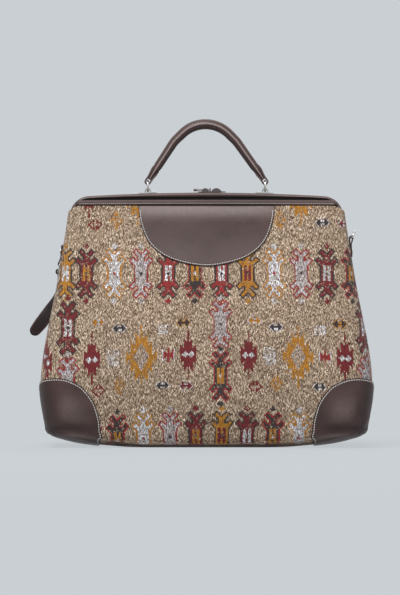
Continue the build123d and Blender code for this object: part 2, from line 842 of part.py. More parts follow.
# Ring tabs on the gussets: the right one stands up, the left one hangs down
tab_width = 2 * (end_ring_radius - end_ring_corner - seat_gap)
tab_inner = end_ring_wire + end_ring_fit
tab_outer = tab_inner + tab_leather
tab_face = tab_gap + 2 * tab_leather
ring_lifts = {"left": left_ring_lift, "right": right_ring_lift}
ring_pivots = {}
for name, side, lean in (("left", -1, -1), ("right", 1, 1)):
    seat = (side * rivet_face, 0, rivet_height)
    outward = Vector(side * cos(tab_slope), 0, sin(tab_slope))
    along = Vector(-side * sin(tab_slope), 0, cos(tab_slope)) * lean
    tab_plane = Plane(seat, x_dir=along, z_dir=(0, 1, 0))
    loop_out = tab_gap + tab_outer
    with BuildPart() as ring_tab:
        with BuildSketch(tab_plane):
            with Locations(((tab_reach - tab_tail) / 2, tab_gap + tab_leather)):
                Rectangle(tab_reach + tab_tail, 2 * tab_leather)
            with Locations((tab_reach, loop_out)):
                Circle(tab_outer)
                Circle(tab_inner, mode=Mode.SUBTRACT)
        extrude(amount=tab_width / 2, both=True)
        with BuildSketch(Plane(seat, x_dir=along, z_dir=outward)):
            Circle(tab_rivet_radius + rivet_fit)
        extrude(amount=2 * tab_face, mode=Mode.SUBTRACT)
    save(ring_tab, f"{name}_ring_tab")
    with BuildPart() as tab_rivet:
        with BuildSketch(Plane(seat, x_dir=along, z_dir=outward).offset(-cloth_thickness - tab_gap)):
            Circle(tab_rivet_radius)
        extrude(amount=cloth_thickness + tab_gap + tab_face)
        with BuildSketch(Plane(seat, x_dir=along, z_dir=outward).offset(tab_face)):
            Circle(tab_rivet_head)
        extrude(amount=tab_rivet_head_height)
        fillet(tab_rivet.faces().sort_by(Axis(seat, outward))[-1].edges(), tab_rivet_head_height / 2)
        with BuildSketch(Plane(seat, x_dir=along, z_dir=outward).offset(-cloth_thickness - tab_gap)):
            Circle(tab_rivet_head)
        extrude(amount=-tab_rivet_head_height)
    save(tab_rivet, f"{name}_tab_rivet")
    pivot = Vector(*seat) + along * tab_reach + outward * loop_out
    ring_pivots[name] = pivot
    lift = radians(ring_lifts[name])
    ring_way = Vector(side * cos(lift), 0, sin(lift))
    ring_plane = Plane(pivot, x_dir=(0, 1, 0), z_dir=Vector(0, 1, 0).cross(ring_way))
    with BuildPart() as end_ring:
        with BuildLine(ring_plane) as ring_line:
            Line((0, 0), (end_ring_radius, 0))
            Line((end_ring_radius, 0), (end_ring_radius, end_ring_stem))
            ThreePointArc(
                (end_ring_radius, end_ring_stem),
                (0, end_ring_stem + end_ring_radius),
                (-end_ring_radius, end_ring_stem),
            )
            Line((-end_ring_radius, end_ring_stem), (-end_ring_radius, 0))
            Line((-end_ring_radius, 0), (0, 0))
            ring_corners = [
                corner
                for corner in ring_line.vertices()
                if abs(abs(corner.Y) - end_ring_radius) < join_tolerance
                and (corner.center() - pivot).length < end_ring_radius + join_tolerance
            ]
            fillet(ring_corners, end_ring_corner)
        with BuildSketch(Plane(pivot, z_dir=(0, 1, 0))):
            Circle(end_ring_wire)
        sweep(path=ring_line.wire())
    save(end_ring, f"{name}_end_ring")

# Hang strap: folded through the left ring, twisting to face the front towards its tip
left_way = Vector(-cos(radians(left_ring_lift)), 0, sin(radians(left_ring_lift)))
strap_top = ring_pivots["left"] + left_way * (end_ring_stem + end_ring_radius)
strap_hole, strap_rise = loop_fit(end_ring_radius, end_ring_wire, strap_loop_width)
strap_eye = strap_top - left_way * strap_rise
strap_start = strap_eye + Vector(0, 0, -strap_hole - strap_thickness * strap_lap_share)
with BuildPart() as hang_strap:
    points = [
        strap_start + Vector(-strap_reach * out, 0, -strap_drop * down)
        for down, out, turn, wide in strap_shares
    ]
    with BuildLine() as strap_line:
        strap_path = Spline(*points, tangents=[(0, 0, -1), (-1, 0, -1)])
    for point, (down, out, turn, wide) in zip(points, strap_shares):
        way = strap_path.tangent_at(strap_path.param_at_point(point))
        flat = way.cross(Vector(0, 1, 0))
        twist = radians(strap_quarter_turn * turn)
        across = Vector(0, 1, 0) * cos(twist) + flat * sin(twist)
        width = strap_loop_width + (strap_width - strap_loop_width) * wide
        with BuildSketch(Plane(point, x_dir=across, z_dir=way)):
            RectangleRounded(width, strap_thickness, strap_thickness * strap_edge_share)
    loft()
    with BuildSketch(Plane(strap_eye, x_dir=(1, 0, 0), z_dir=(0, -1, 0))):
        Circle(strap_hole + strap_thickness / 2)
    extrude(amount=strap_loop_width / 2, both=True)
    with BuildSketch(Plane(strap_eye, x_dir=(1, 0, 0), z_dir=(0, -1, 0))):
        Circle(strap_hole)
    extrude(amount=strap_loop_width, both=True, mode=Mode.SUBTRACT)
save(hang_strap, "hang_strap")
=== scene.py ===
import math

import bpy
import numpy as np
from bpy.props import FloatProperty, FloatVectorProperty, PointerProperty
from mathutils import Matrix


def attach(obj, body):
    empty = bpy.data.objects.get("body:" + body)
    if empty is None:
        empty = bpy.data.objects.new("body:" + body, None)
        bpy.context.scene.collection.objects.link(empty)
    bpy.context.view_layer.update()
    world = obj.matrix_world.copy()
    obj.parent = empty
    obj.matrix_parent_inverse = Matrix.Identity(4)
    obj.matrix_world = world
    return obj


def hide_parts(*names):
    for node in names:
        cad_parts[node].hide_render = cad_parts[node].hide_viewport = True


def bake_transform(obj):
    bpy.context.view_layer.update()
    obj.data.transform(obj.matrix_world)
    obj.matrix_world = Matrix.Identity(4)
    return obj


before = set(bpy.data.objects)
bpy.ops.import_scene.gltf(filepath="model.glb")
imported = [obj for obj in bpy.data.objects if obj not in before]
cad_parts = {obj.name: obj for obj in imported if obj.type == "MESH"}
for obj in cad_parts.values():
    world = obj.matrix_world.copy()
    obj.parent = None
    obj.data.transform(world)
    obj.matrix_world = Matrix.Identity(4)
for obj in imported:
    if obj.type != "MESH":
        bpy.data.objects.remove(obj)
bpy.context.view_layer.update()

bl_info = {
    "name": "Frame-top carpet bag",
    "version": (1, 0, 0),
    "blender": (4, 5, 0),
    "location": "View3D > Sidebar > Bag",
    "description": "Dresses a packed frame-top bag in woven cloth, leather and nickel",
    "category": "Object",
}

MM = 0.001
FULL = 2 * math.pi
QUARTER = math.pi / 2
DEPTH_WAY = np.array([0.0, 1.0, 0.0])
UP_WAY = np.array([0.0, 0.0, 1.0])

# Levels of the bag's outside in mm, from the edge of the flat base to the top of the cloth:
# height, half width, half depth, corner radius, gusset fold, front bulge
LEVELS = np.array([
    (0.0, 118.0, 62.0, 45.0, 0.0, 0.0),
    (7.0, 175.0, 79.5, 35.1, 0.0, 1.65),
    (18.0, 214.8, 92.6, 25.0, 0.0, 3.0),
    (49.0, 220.3, 97.0, 28.0, 0.0, 5.1),
    (80.0, 224.2, 97.0, 28.0, 0.0, 6.0),
    (111.0, 222.8, 92.98, 27.43, 1.5, 6.0),
    (142.0, 218.6, 85.95, 26.1, 4.0, 6.0),
    (173.0, 212.7, 76.91, 24.01, 7.5, 5.4),
    (204.0, 206.7, 65.45, 20.97, 9.5, 4.5),
    (235.0, 201.4, 50.88, 17.93, 7.0, 3.0),
    (266.0, 196.9, 36.32, 14.51, 2.0, 1.8),
    (297.0, 192.08, 23.34, 11.47, 0.0, 0.9),
    (328.0, 188.0, 13.3, 9.0, 0.0, 0.3),
])
# Level of the seam between the base and the walls
EDGE_LEVEL = 2.0
TOP_LEVEL = len(LEVELS) - 1.0
# How far a layer over the cloth grows downwards instead of sideways, at the lowest levels
UNDER_SHARES = ((0.0, 1.0), (1.0, 0.8), (2.0, 0.0))

# Other sizes in mm. The cloth: its top and base seam, its thickness, the fold under the front,
# the roll below the frame and the shoulders over the frame's ends
TOP = 328.0
EDGE = 18.0
CLOTH = 2.5
CREASE_ROUND = 0.22
FOLD_DROP = 10.0
ROLL_DEPTH = 2.4
ROLL_START = 262.0
ROLL_END = 315.0
ROLL_HALF = 92.0
SHOULDER_START = 170.0
SHOULDER_RADIUS = 24.6
# How fast the cloth's bend takes hold, per metre outwards and upwards from the middle of the top edge
BEND_OUT = 75.2
BEND_UP = 52.0
# The leather: thickness of a patch, the gap below it and where its stitches lie
LEATHER = 1.8
SEAT = 0.3
STITCH_INSET = 2.3
# The frame: the covered bar of each half and the crowned outline of the two
BAR_MIDDLE = 5.5
BAR_DEPTH = 10.0
BAR_HEIGHT = 14.0
FRAME_TOP = 346.2
ARCH_RADIUS = 2700.0
HALF_FRAME = 187.0
FRAME_CORNER = 28.0
COVER_FOOT = 306.0


def srgb(red, green, blue):
    """Linear colour of an 8-bit screen colour."""
    screen = np.array([red, green, blue]) / 255
    return tuple(np.where(screen < 0.04045, screen / 12.92, ((screen + 0.055) / 1.055) ** 2.4))


def toned(tint, share):
    """A colour made darker or lighter by a factor."""
    return tuple(share * part for part in tint)


def colour(name, words, value):
    """Setting for a colour."""
    return FloatVectorProperty(
        name=name, description=words, default=value, subtype="COLOR", size=3, min=0, max=1
    )


def length(name, words, value):
    """Setting for a length in metres."""
    return FloatProperty(name=name, description=words, default=value, unit="LENGTH", min=0)


class BagCloth(bpy.types.PropertyGroup):
    """Yarns and weave of the patterned cloth."""

    cream: colour("Cream yarn", "Palest yarn of the mottled ground", srgb(206, 186, 160))
    beige: colour("Beige yarn", "Pale yarn of the mottled ground", srgb(188, 164, 138))
    tan: colour("Tan yarn", "Middle yarn of the mottled ground", srgb(166, 141, 116))
    brown: colour("Brown yarn", "Dark yarn of the mottled ground", srgb(146, 121, 98))
    umber: colour("Umber yarn", "Darkest yarn of the mottled ground", srgb(122, 98, 78))
    gold: colour("Gold yarn", "Ochre yarn of the motifs", srgb(182, 122, 34))
    red: colour("Red yarn", "Bright red yarn of the motifs", srgb(150, 42, 42))
    wine: colour("Wine yarn", "Dark red yarn of the motifs", srgb(118, 32, 36))
    dark: colour("Dark yarn", "Brown-black yarn of the motifs", srgb(60, 48, 46))
    white: colour("White yarn", "White yarn of the motifs", srgb(228, 221, 219))
    grey: colour("Grey yarn", "Grey-white yarn of the motifs", srgb(200, 188, 186))
    lining: colour("Lining", "Cotton on the inside of the cloth", srgb(150, 128, 104))
    thread: length("Thread", "Width of one yarn", 0.0014)


class BagLeather(bpy.types.PropertyGroup):
    """Brown leather of the facings, corners, frame and handle."""

    hide: colour("Hide", "Colour of the leather", srgb(77, 58, 55))
    # The shade colour serves the strap's dark leather and painted shade: dark rims, grooves, folds and
    # undersides
    shade: colour("Shade", "Colour of its darker patches and turned edges", srgb(34, 24, 23))
    # The worn colour serves rubbed leather and painted highlights
    worn_and_highlight: colour("Worn", "Colour of rubbed edges", srgb(152, 135, 131))
    thread: colour("Thread", "Colour of the stitching", srgb(246, 242, 236))
    grain: length("Grain", "Size of the leather's grain", 0.0011)
    pitch: length("Stitch pitch", "Distance between stitches", 0.0034)


class BagMetal(bpy.types.PropertyGroup):
    """Nickel fittings, the steel of the frame and the base board."""

    nickel: colour("Nickel", "Colour of the bright fittings", srgb(214, 210, 204))
    # The lock's nickel is tinted dark and brown: a painted reflection of the brown leather round it
    smoked: colour("Smoked nickel", "Colour of the darker lock", srgb(122, 110, 108))
    steel: colour("Steel", "Colour of the frame's bows", srgb(150, 150, 152))
    board: colour("Board", "Colour of the stiff base board", srgb(120, 96, 70))


class BagStage(bpy.types.PropertyGroup):
    """Floor, light and camera."""

    backdrop: colour("Backdrop", "Colour of the floor and backdrop", srgb(202, 207, 211))
    distance: length("Distance", "From the camera to the middle of the bag", 5.5)
    across: FloatProperty(
        name="Across", description="Camera's place along the bag", default=-0.0088, unit="LENGTH"
    )
    height: length("Height", "Camera's height over the floor", 0.2027)
    focal: FloatProperty(name="Focal length", description="Lens of the camera in mm", default=243.1, min=10)


# Surfaces

def smooth(share):
    """Smooth step from 0 to 1: three times the square less twice the cube."""
    share = np.clip(share, 0, 1)
    return share * share * (3 - 2 * share)


def bell(distance, half):
    """Bell curve of height 1: e to the minus square of the distance over the half width."""
    return np.exp(-((distance / half) ** 2))


def length_along(points):
    """Distance along a line from its first point to each of its points."""
    steps = np.linalg.norm(np.diff(points, axis=0), axis=1)
    return np.concatenate([[0], np.cumsum(steps)])


def through(rows, at):
    """Natural cubic curve through numbered rows, read at the places `at`."""
    rows = np.asarray(rows, float)
    count = len(rows)
    inner = np.arange(1, count - 1)
    system = np.eye(count)
    system[inner, inner] = 4
    system[inner, inner - 1] = 1
    system[inner, inner + 1] = 1
    load = np.zeros_like(rows)
    load[1:-1] = 6 * (rows[:-2] - 2 * rows[1:-1] + rows[2:])
    bend = np.linalg.solve(system, load)
    first = np.clip(np.floor(at).astype(int), 0, count - 2)
    after = (at - first)[..., None]
    before = 1 - after
    curve = (before**3 - before) * bend[first] + (after**3 - after) * bend[first + 1]
    return before * rows[first] + after * rows[first + 1] + curve / 6


def closed_through(rows, count):
    """Closed smooth curve through rows: between neighbours, the cubic with chord tangents."""
    rows = np.asarray(rows, float)
    at = np.arange(count) * len(rows) / count
    first = np.floor(at).astype(int)
    t = (at - first)[:, None]
    back, here, ahead, far = (rows[(first + shift) % len(rows)] for shift in (-1, 0, 1, 2))
    square = 2 * back - 5 * here + 4 * ahead - far
    cube = 3 * (here - ahead) + far - back
    return here + 0.5 * t * (ahead - back + t * (square + t * cube))


def rows_at(level):
    """Sizes at a level: one curve through the base's rows, another through the walls', a crease between."""
    level = np.asarray(level, float)
    crease = int(EDGE_LEVEL)
    low = through(LEVELS[: crease + 1], np.minimum(level, EDGE_LEVEL))
    high = through(LEVELS[crease:], np.maximum(level, EDGE_LEVEL) - EDGE_LEVEL)
    return np.where((level < EDGE_LEVEL)[..., None], low, high)


def runs_at(level):
    """Straight half of the front, straight half of the gusset and the corner's radius at a level."""
    _, half_width, half_depth, corner, _, _ = np.moveaxis(rows_at(level), -1, 0)
    return half_width - corner, half_depth - corner, corner


LEVEL_SAMPLES = np.linspace(0, TOP_LEVEL, 2401)
LEVEL_HEIGHTS = np.maximum.accumulate(rows_at(LEVEL_SAMPLES)[:, 0])


def level_of(height):
    """Level number at a height in mm."""
    return np.interp(height, LEVEL_HEIGHTS, LEVEL_SAMPLES)


def slack(x, z):
    """Slack of the cloth in mm: crossing waves that die out at every seam, and a roll below the frame."""
    across = x / 200
    up = np.clip((z - EDGE) / (TOP - EDGE), 0, 1)
    waves = 0.9 * np.sin(5.1 * across + 2.3 * up + 0.4) * np.sin(6.7 * up + 0.8)
    waves += 0.5 * np.sin(12.0 * across - 4.0 * up) * (0.4 + up)
    waves += 0.7 * np.sin(3.0 * across + 9.0 * up + 1.0)
    roll = ROLL_DEPTH * smooth((z - ROLL_START) / 50) * (1 - smooth((z - ROLL_END) / 13))
    roll = roll * np.exp(-((x / ROLL_HALF) ** 6))
    return waves * np.clip(1 - across**6, 0, 1) * np.sin(math.pi * up) ** 0.6 + roll


def rounded_rows(level):
    """Sizes of the bag at a level, with the crease rounded by a mean with its neighbours."""
    reach = CREASE_ROUND * bell(level - EDGE_LEVEL, 0.7)
    beside = rows_at(np.maximum(level - reach, 0)) + rows_at(level + reach)
    return 0.5 * rows_at(level) + 0.25 * beside


def wall(turn, level, grow=0.0):
    """Front right quarter of the bag's outside, in mm.

    turn 0 to 1 runs from the front's middle to its corner, 1 to 2 round the corner, 2 to 3 to the
    gusset's middle; the front bulges and the gusset folds by half a cosine wave, and the fold under the
    front hangs lower in its middle.
    """
    turn, level = np.broadcast_arrays(turn, level)
    height, half_width, half_depth, corner, fold, bulge = np.moveaxis(rounded_rows(level), -1, 0)
    under = np.interp(level, *np.array(UNDER_SHARES).T)
    aside = grow * (1 - under)
    half_width = half_width + aside
    half_depth = half_depth + aside
    corner = corner + aside
    angle = np.clip(turn - 1, 0, 1) * QUARTER
    run = np.clip(np.abs(turn), 0, 1)
    rest = np.clip(turn - 2, 0, 1)
    x = run * (half_width - corner) + corner * np.sin(angle) - fold * (0.5 - 0.5 * np.cos(math.pi * rest))
    y = -half_depth + corner * (1 - np.cos(angle)) + rest * (half_depth - corner)
    y = y - bulge * (0.5 + 0.5 * np.cos(math.pi * run)) * (turn < 1)
    hang = FOLD_DROP * (1 - smooth((np.abs(turn) - 0.45) / 0.55)) * bell(level - EDGE_LEVEL, 0.9)
    return np.stack([x, y, np.maximum(height - hang, 0) - grow * under], -1)


def front_at(x, z, grow):
    """Point of the front at x and z, on the straight part of its level, out from the cloth by grow."""
    level = level_of(z)
    point = wall(np.abs(x) / runs_at(level)[0], level, grow)
    point[..., 0] = x
    point[..., 1] -= slack(x, z)
    return point


# Meshes

def grid_quads(rows, cols, closed=False):
    """Quads of a grid of points, row by row, closed round its columns or not."""
    row = np.arange(rows - 1)[:, None] * cols
    col = np.arange(cols if closed else cols - 1)[None]
    after = (col + 1) % cols
    quads = np.stack([row + col, row + after, row + cols + after, row + cols + col], -1)
    return quads.reshape(-1, 4)


def capped_tube(rings):
    """Points and faces of rings of points joined in turn, with a pole in the middle of each end."""
    rows, cols = rings.shape[:2]
    points = np.concatenate([rings.reshape(-1, 3), rings[:1].mean(1), rings[-1:].mean(1)])
    col = np.arange(cols)
    after = (col + 1) % cols
    pole, end = rows * cols, (rows - 1) * cols
    first = np.stack([np.full(cols, pole), after, col], -1)
    last = np.stack([np.full(cols, pole + 1), end + col, end + after], -1)
    return points, [grid_quads(rows, cols, True), first, last]


def rim_strip(fine, coarse):
    """Triangles between a line of points and a line with every second one."""
    a, b, c = fine[:-2:2], fine[1::2], fine[2::2]
    d, e = coarse[:-1], coarse[1:]
    return np.concatenate([np.stack(three, -1) for three in ((b, a, d), (b, d, e), (c, b, e))])


def two_layers(outer, inner):
    """Points and faces of cloth: a fine outer grid, an inner grid of half the steps, closed at the rims."""
    rows, cols = outer.shape[:2]
    few_rows, few_cols = inner.shape[:2]
    points = np.concatenate([outer.reshape(-1, 3), inner.reshape(-1, 3)])
    out = np.arange(rows * cols).reshape(rows, cols)
    into = rows * cols + np.arange(few_rows * few_cols).reshape(few_rows, few_cols)
    rims = [
        rim_strip(out[0], into[0]),
        rim_strip(out[:, -1], into[:, -1]),
        rim_strip(out[-1, ::-1], into[-1, ::-1]),
        rim_strip(out[::-1, 0], into[::-1, 0]),
    ]
    lining = rows * cols + grid_quads(few_rows, few_cols)[:, ::-1]
    return points, [grid_quads(rows, cols), np.concatenate(rims), lining]


def outward(points, faces):
    """Faces that point out of the volume they close: all are turned round where that volume is negative."""
    volume = 0.0
    for group in faces:
        for last in range(2, group.shape[1]):
            first, second, third = (points[group[:, corner]] for corner in (0, last - 1, last))
            volume += (first * np.cross(second, third)).sum()
    return faces if volume > 0 else [group[:, ::-1] for group in faces]


def new_piece(name, points, faces, materials, uv=None, tints=None, wear_and_painted_light=None, slots=None, closed=True):
    """Object from points in mm and groups of faces, with its map, yarn colours, wear with painted light and
    shade, and material slots.

    The faces of a closed piece are made to point outward.
    """
    mesh = bpy.data.meshes.new(name)
    if closed:
        faces = outward(points, faces)
    corners = np.concatenate([group.ravel() for group in faces]).astype(np.int32)
    sizes = np.concatenate([np.full(len(group), group.shape[1]) for group in faces])
    starts = np.concatenate([[0], np.cumsum(sizes)[:-1]]).astype(np.int32)
    mesh.vertices.add(len(points))
    mesh.vertices.foreach_set("co", (points * MM).astype(np.float32).ravel())
    mesh.loops.add(len(corners))
    mesh.loops.foreach_set("vertex_index", corners)
    mesh.polygons.add(len(sizes))
    mesh.polygons.foreach_set("loop_start", starts)
    mesh.polygons.foreach_set("use_smooth", np.ones(len(sizes), bool))
    for material in materials:
        mesh.materials.append(material)
    if slots is not None:
        mesh.polygons.foreach_set("material_index", np.asarray(slots, np.int32))
    mesh.update(calc_edges=True)
    if uv is not None:
        layer = mesh.uv_layers.new(name="cloth_map")
        layer.data.foreach_set("uv", (uv[corners] * MM).astype(np.float32).ravel())
    if tints is not None:
        yarns = mesh.attributes.new("yarn", "FLOAT_COLOR", "FACE")
        yarns.data.foreach_set("color", tints.astype(np.float32).ravel())
    if wear_and_painted_light is not None:
        rub_and_painted_light = mesh.attributes.new("wear_and_painted_light", "FLOAT", "POINT")
        rub_and_painted_light.data.foreach_set("value", np.asarray(wear_and_painted_light, np.float32).ravel())
    if mesh.validate():
        raise RuntimeError(f"{name} has broken faces")
    made = bpy.data.objects.new(name, mesh)
    bpy.context.scene.collection.objects.link(made)
    return made


def settle(made, nodes, body=None, bend=None):
    """Hide the nodes a piece stands for, and hang it on its body; a piece between two bodies keeps its place,
    with its transform baked in.
    """
    if nodes:
        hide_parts(*nodes)
    if bend is None:
        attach(made, body)
    else:
        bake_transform(made)


def bend_of(side):
    """Bodies and line of the cloth's bend with one frame half: from the gusset's fold to the top edge."""
    slope = np.array([0.0, side * BEND_OUT, BEND_UP])
    start = np.array([0.0, 0.0, TOP * MM])
    body = "front_frame" if side < 0 else "rear_frame"
    return "bag", body, tuple(start), tuple(start + slope / (slope @ slope))


def evenly(points, ups, pitch):
    """Places, ways and ups at an even pitch along a dense line of points."""
    run = length_along(points)
    count = max(int(round(run[-1] / pitch)), 2)
    at = (np.arange(count) + 0.5) * run[-1] / count

    def read(values, place):
        return np.stack([np.interp(place, run, values[:, axis]) for axis in range(3)], -1)

    ways = read(points, at + 0.3) - read(points, at - 0.3)
    ways /= np.linalg.norm(ways, axis=1, keepdims=True)
    up = read(ups, at)
    up -= ways * (up * ways).sum(1, keepdims=True)
    return read(points, at), ways, up / np.linalg.norm(up, axis=1, keepdims=True)


def stitch_shape(long, wide, tall):
    """One stitch along X: rings of a flat ellipse that shrink and dip at both ends."""
    along = np.array([-1.0, -0.8, -0.35, 0.35, 0.8, 1.0])
    size = np.array([0.35, 0.75, 1.0, 1.0, 0.75, 0.35])
    dip = np.array([-0.9, -0.35, 0.0, 0.0, -0.35, -0.9]) * tall
    angle = np.arange(6) * FULL / 6
    rings = np.zeros((6, 6, 3))
    rings[..., 0] = along[:, None] * long / 2
    rings[..., 1] = size[:, None] * np.cos(angle) * wide / 2
    rings[..., 2] = size[:, None] * np.sin(angle) * tall / 2 + dip[:, None]
    return capped_tube(rings)


def stitch_run(lines, pitch, size, slant):
    """Points and faces of stitches along lines, each line given as dense points and outward directions."""
    shape, faces = stitch_shape(*size)
    all_points = []
    for points, ups in lines:
        places, ways, up = evenly(points, ups, pitch)
        along = ways * math.cos(slant) + np.cross(up, ways) * math.sin(slant)
        axes = np.stack([along, np.cross(up, along), up], 1)
        all_points.append(places[:, None] + np.einsum("pk,nkc->npc", shape, axes))
    points = np.concatenate(all_points)
    shift = np.arange(len(points))[:, None, None] * len(shape)
    groups = [(group[None] + shift).reshape(-1, group.shape[1]) for group in faces]
    return points.reshape(-1, 3), groups


def rounded_box(half_wide, half_tall, radius, steps=4):
    """Section of a strip: a rectangle with round corners, run round anticlockwise."""
    angle = np.concatenate([np.linspace(0, QUARTER, steps) + turn * QUARTER for turn in range(4)])
    signs = np.repeat(np.array([(1, 1), (-1, 1), (-1, -1), (1, -1)]), steps, axis=0)
    middle = signs * np.array([half_wide - radius, half_tall - radius])
    return middle + radius * np.stack([np.cos(angle), np.sin(angle)], -1)


def round_tip(to_end, reach, least):
    """Share of a strap's width at a distance from its end: a quarter circle over the last reach."""
    share = np.clip(to_end / reach, least, 1)
    return np.sqrt(np.clip(1 - (1 - share) ** 2, 0, 1))


def swept(path, sides, ups, section):
    """Rings of a section carried along a path: each point is path + side times u + up times v."""
    section = np.broadcast_to(section, (len(path),) + section.shape[-2:])
    return path[:, None] + section[..., :1] * sides[:, None] + section[..., 1:] * ups[:, None]


def ways_of(path):
    """Direction of a path at each of its points."""
    way = np.gradient(path, axis=0)
    return way / np.linalg.norm(way, axis=1, keepdims=True)


def one_way(way, path):
    """The same direction at each point of a path."""
    return np.broadcast_to(way, path.shape)


def in_depth(flat, depth):
    """Points of a line in the frame's plane, at a depth."""
    return np.stack([flat[:, 0], np.full(len(flat), depth), flat[:, 1]], -1)


# Materials

def new_material(name, rough, sheen=0.0):
    """Material with a plain shader, its node tree and that shader."""
    material = bpy.data.materials.new(name)
    material.use_nodes = True
    shader = material.node_tree.nodes["Principled BSDF"]
    shader.inputs["Roughness"].default_value = rough
    shader.inputs["Sheen Weight"].default_value = sheen
    return material, material.node_tree, shader


def node(tree, kind, links=(), **values):
    """Node with values on its sockets by name, and links into its sockets."""
    made = tree.nodes.new(kind)
    for name, value in values.items():
        if name in made.bl_rna.properties:
            setattr(made, name, value)
        else:
            made.inputs[name].default_value = value
    for name, source in dict(links).items():
        tree.links.new(source, made.inputs[name])
    return made


def fill(tree, socket, value):
    """Link a socket into another, or set a number or colour on it."""
    if isinstance(value, bpy.types.NodeSocket):
        tree.links.new(value, socket)
    else:
        socket.default_value = (*value, 1.0) if hasattr(value, "__len__") else value


def ramp(tree, source, *stops):
    """Colour ramp over a value, from pairs of place and colour or grey."""
    made = node(tree, "ShaderNodeValToRGB", {"Fac": source})
    elements = made.color_ramp.elements
    while len(elements) < len(stops):
        elements.new(1.0)
    for element, (place, value) in zip(elements, stops):
        element.position = place
        element.color = (*value, 1.0) if hasattr(value, "__len__") else (value, value, value, 1.0)
    return made.outputs["Color"]


def spread(tree, source, low, high):
    """Ramp over the middle of a noise, from one colour or grey to another."""
    return ramp(tree, source, (0.3, low), (0.7, high))


def mix(tree, share, first, second, blend="MIX"):
    """Colour mix of two sockets or colours by a socket or a number."""
    made = node(tree, "ShaderNodeMix", data_type="RGBA", blend_type=blend)
    for index, value in ((0, share), (6, first), (7, second)):
        fill(tree, made.inputs[index], value)
    return made.outputs[2]


def noise(tree, place, scale, detail=3.0, rough=0.5):
    """Noise texture at a place."""
    made = node(tree, "ShaderNodeTexNoise", {"Vector": place}, Scale=scale, Detail=detail, Roughness=rough)
    return made.outputs["Fac"]


def maths(tree, operation, *values):
    """Result of one operation on sockets or numbers."""
    made = node(tree, "ShaderNodeMath", operation=operation)
    for socket, value in zip(made.inputs, values):
        fill(tree, socket, value)
    return made.outputs[0]


def bump(tree, shader, height, distance, strength):
    """Relief of a shader from a height."""
    made = node(tree, "ShaderNodeBump", {"Height": height}, Strength=strength, Distance=distance)
    tree.links.new(made.outputs["Normal"], shader.inputs["Normal"])


def object_place(tree):
    """Place on the piece, in its own coordinates."""
    return node(tree, "ShaderNodeTexCoord").outputs["Object"]


# Light and dark of the slanting floats, as factors on the yarn's colour
FLOAT_TONES = (
    (0.37, (0.28, 0.22, 0.18)),
    (0.46, (0.74, 0.71, 0.68)),
    (0.53, (1.05, 1.05, 1.04)),
    (0.63, (1.85, 2.05, 2.35)),
)


def floats(tree, place, lean):
    """Short slanting floats of yarn: noise drawn out along one diagonal of the cloth."""
    turned = node(tree, "ShaderNodeMapping", {"Vector": place})
    turned.inputs["Rotation"].default_value = (0, 0, lean)
    turned.inputs["Scale"].default_value = (1.0, 0.27, 1.0)
    return noise(tree, turned.outputs["Vector"], scale=860.0, detail=1.0, rough=0.4)


def cloth_material():
    """Woven wool: each yarn's colour under slanting light and dark floats, soft fibres, a little sheen."""
    material, tree, shader = new_material("woven_cloth", rough=0.92, sheen=0.15)
    yarn = node(tree, "ShaderNodeAttribute", attribute_name="yarn").outputs
    place = node(tree, "ShaderNodeUVMap", uv_map="cloth_map").outputs["UV"]
    side = ramp(tree, noise(tree, place, scale=210.0, detail=1.0), (0.48, 0.0), (0.52, 1.0))
    tone = mix(tree, side, floats(tree, place, 0.8), floats(tree, place, -0.75))
    stroked = mix(tree, 1.0, yarn["Color"], ramp(tree, tone, *FLOAT_TONES), "MULTIPLY")
    drawn = mix(tree, yarn["Alpha"], yarn["Color"], stroked)
    fibres = noise(tree, place, scale=2600.0, detail=2.0)
    shaded = mix(tree, 0.6, drawn, spread(tree, fibres, 0.72, 1.14), "MULTIPLY")
    broad = spread(tree, noise(tree, place, scale=14.0), 0.88, 1.06)
    fill(tree, shader.inputs["Base Color"], mix(tree, 1.0, shaded, broad, "MULTIPLY"))
    height = maths(tree, "ADD", maths(tree, "MULTIPLY", fibres, 0.4), tone)
    bump(tree, shader, height, distance=0.0008, strength=0.8)
    return material


def lining_material(tint):
    """Plain cotton lining with a fine weave."""
    material, tree, shader = new_material("cotton_lining", rough=0.9, sheen=0.1)
    place = object_place(tree)
    threads = noise(tree, place, scale=1500.0, detail=2.0)
    shade = spread(tree, noise(tree, place, scale=30.0), toned(tint, 0.8), tint)
    woven = mix(tree, 0.5, shade, spread(tree, threads, 0.75, 1.1), "MULTIPLY")
    fill(tree, shader.inputs["Base Color"], woven)
    bump(tree, shader, threads, distance=0.0002, strength=0.6)
    return material


